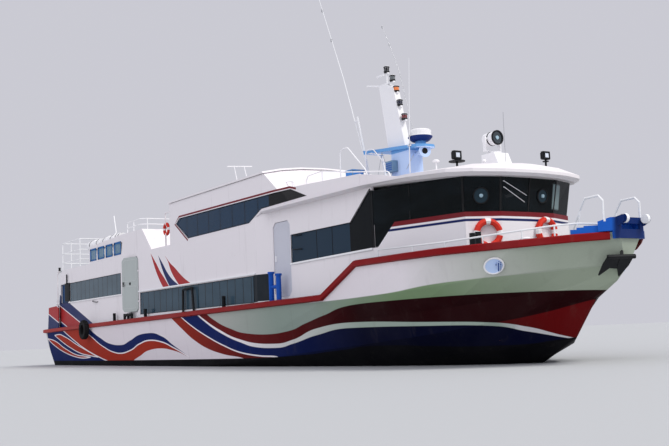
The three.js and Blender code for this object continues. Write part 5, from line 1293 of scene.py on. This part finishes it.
# Stern: a blue screen inside the aft opening, a black post before it, a white pipe ladder welded to
# the bulwark for boarding, and the stern lamp on the flag pole's bracket.
screen_blue = weathered("screen_blue", (0.012, 0.055, 0.16), grime=0.1, rust=0.0)
LADDER_AFT, LADDER_FORE, LADDER_Y = -15.36, -14.98, -2.48
RUNG_STEP = 0.165
for name, side in SIDES:
    y = 2.36 * side
    bm = bmesh.new()
    add_panel(bm, [(-14.86, y, 2.74), (-13.70, y, 2.74), (-13.70, y, 3.66), (-14.86, y, 3.66)],
              (0, 0.012 * side, 0), slot=1, bevel=0.003)
    low_y, high_y = sorted((2.45 * side, 2.475 * side))
    add_box(bm, (-14.22, low_y, 2.83), (-13.57, high_y, 3.64), 0.01)
    add_lathe(bm, [(0.0, 3.60), (0.03, 3.60), (0.03, 4.02), (0.0, 4.03)], (-13.85, 2.50 * side, 0), steps=12)
    add_piece(f"stern_screen_{name}", bm, black_paint, screen_blue)
ladder = [[(x, LADDER_Y, 1.70), (x, LADDER_Y, 2.95)] for x in (LADDER_AFT, LADDER_FORE)]
for step in range(7):
    z = 1.80 + step * RUNG_STEP
    ladder.append([(LADDER_AFT, LADDER_Y, z), (LADDER_FORE, LADDER_Y, z)])
add_rods("stern_ladder", ladder, 0.020, clean_white)
bm = bmesh.new()
add_lathe(bm, [(0.0, 4.262), (0.055, 4.262), (0.055, 4.30), (0.048, 4.305), (0.048, 4.40), (0.06, 4.405),
               (0.05, 4.44), (0.0, 4.45)], (-15.30, -2.35, 0), steps=20)
add_piece("stern_lamp", bm, black_paint)


# Stage: a pale matte floor at the waterline, a pale sky, a warm soft key light and a weak cool fill,
# like soft daylight from a bright sky.
def add_stage():
    bm = bmesh.new()
    bmesh.ops.create_grid(bm, x_segments=8, y_segments=8, size=400)
    mesh = bpy.data.meshes.new("floor")
    bm.to_mesh(mesh)
    bm.free()
    floor = bpy.data.objects.new("floor", mesh)
    scene.collection.objects.link(floor)
    material = bpy.data.materials.new("floor_matte")
    material.use_nodes = True
    shader = material.node_tree.nodes["Principled BSDF"]
    shader.inputs["Base Color"].default_value = (0.46, 0.475, 0.49, 1)
    shader.inputs["Roughness"].default_value = 0.85
    mesh.materials.append(material)
    world = bpy.data.worlds.new("pale_sky")
    world.use_nodes = True
    sky = world.node_tree.nodes["Background"]
    sky.inputs["Color"].default_value = (0.80, 0.80, 0.88, 1)
    sky.inputs["Strength"].default_value = 0.74
    scene.world = world
    for name, rotation, strength, angle, color in [
        ("key_light", (38, 0, 118), 2.4, 20, (1.0, 0.97, 0.92)),
        ("fill_light", (62, 0, 20), 0.75, 60, (0.95, 0.95, 1.0)),
    ]:
        light = bpy.data.lights.new(name, "SUN")
        light.energy = strength
        light.angle = math.radians(angle)
        light.color = color
        lamp = bpy.data.objects.new(name, light)
        lamp.rotation_euler = [math.radians(value) for value in rotation]
        scene.collection.objects.link(lamp)


# Camera: low off the starboard bow, where the photograph was taken. Its heading, pitch and roll and
# its lens were fitted to the straight edges of the house.
def add_camera():
    azimuth, pitch, roll = [math.radians(value) for value in (56.59, 6.38, -2.422)]
    ahead = Vector((
        -math.sin(azimuth) * math.cos(pitch), math.cos(azimuth) * math.cos(pitch), math.sin(pitch)))
    right = Vector((math.cos(azimuth), math.sin(azimuth), 0))
    up = right.cross(ahead)
    rolled_right = math.cos(roll) * right + math.sin(roll) * up
    rolled_up = math.cos(roll) * up - math.sin(roll) * right
    camera = bpy.data.cameras.new("camera")
    camera.lens = 53.63
    camera.sensor_width = 36
    camera.clip_end = 900
    eye = bpy.data.objects.new("camera", camera)
    turn = Matrix((rolled_right, rolled_up, -ahead)).transposed().to_4x4()
    eye.matrix_world = Matrix.Translation((29.87678677, -16.91, 0.86)) @ turn
    scene.collection.objects.link(eye)
    scene.camera = eye


add_stage()
add_camera()
scene.view_settings.view_transform = "Standard"
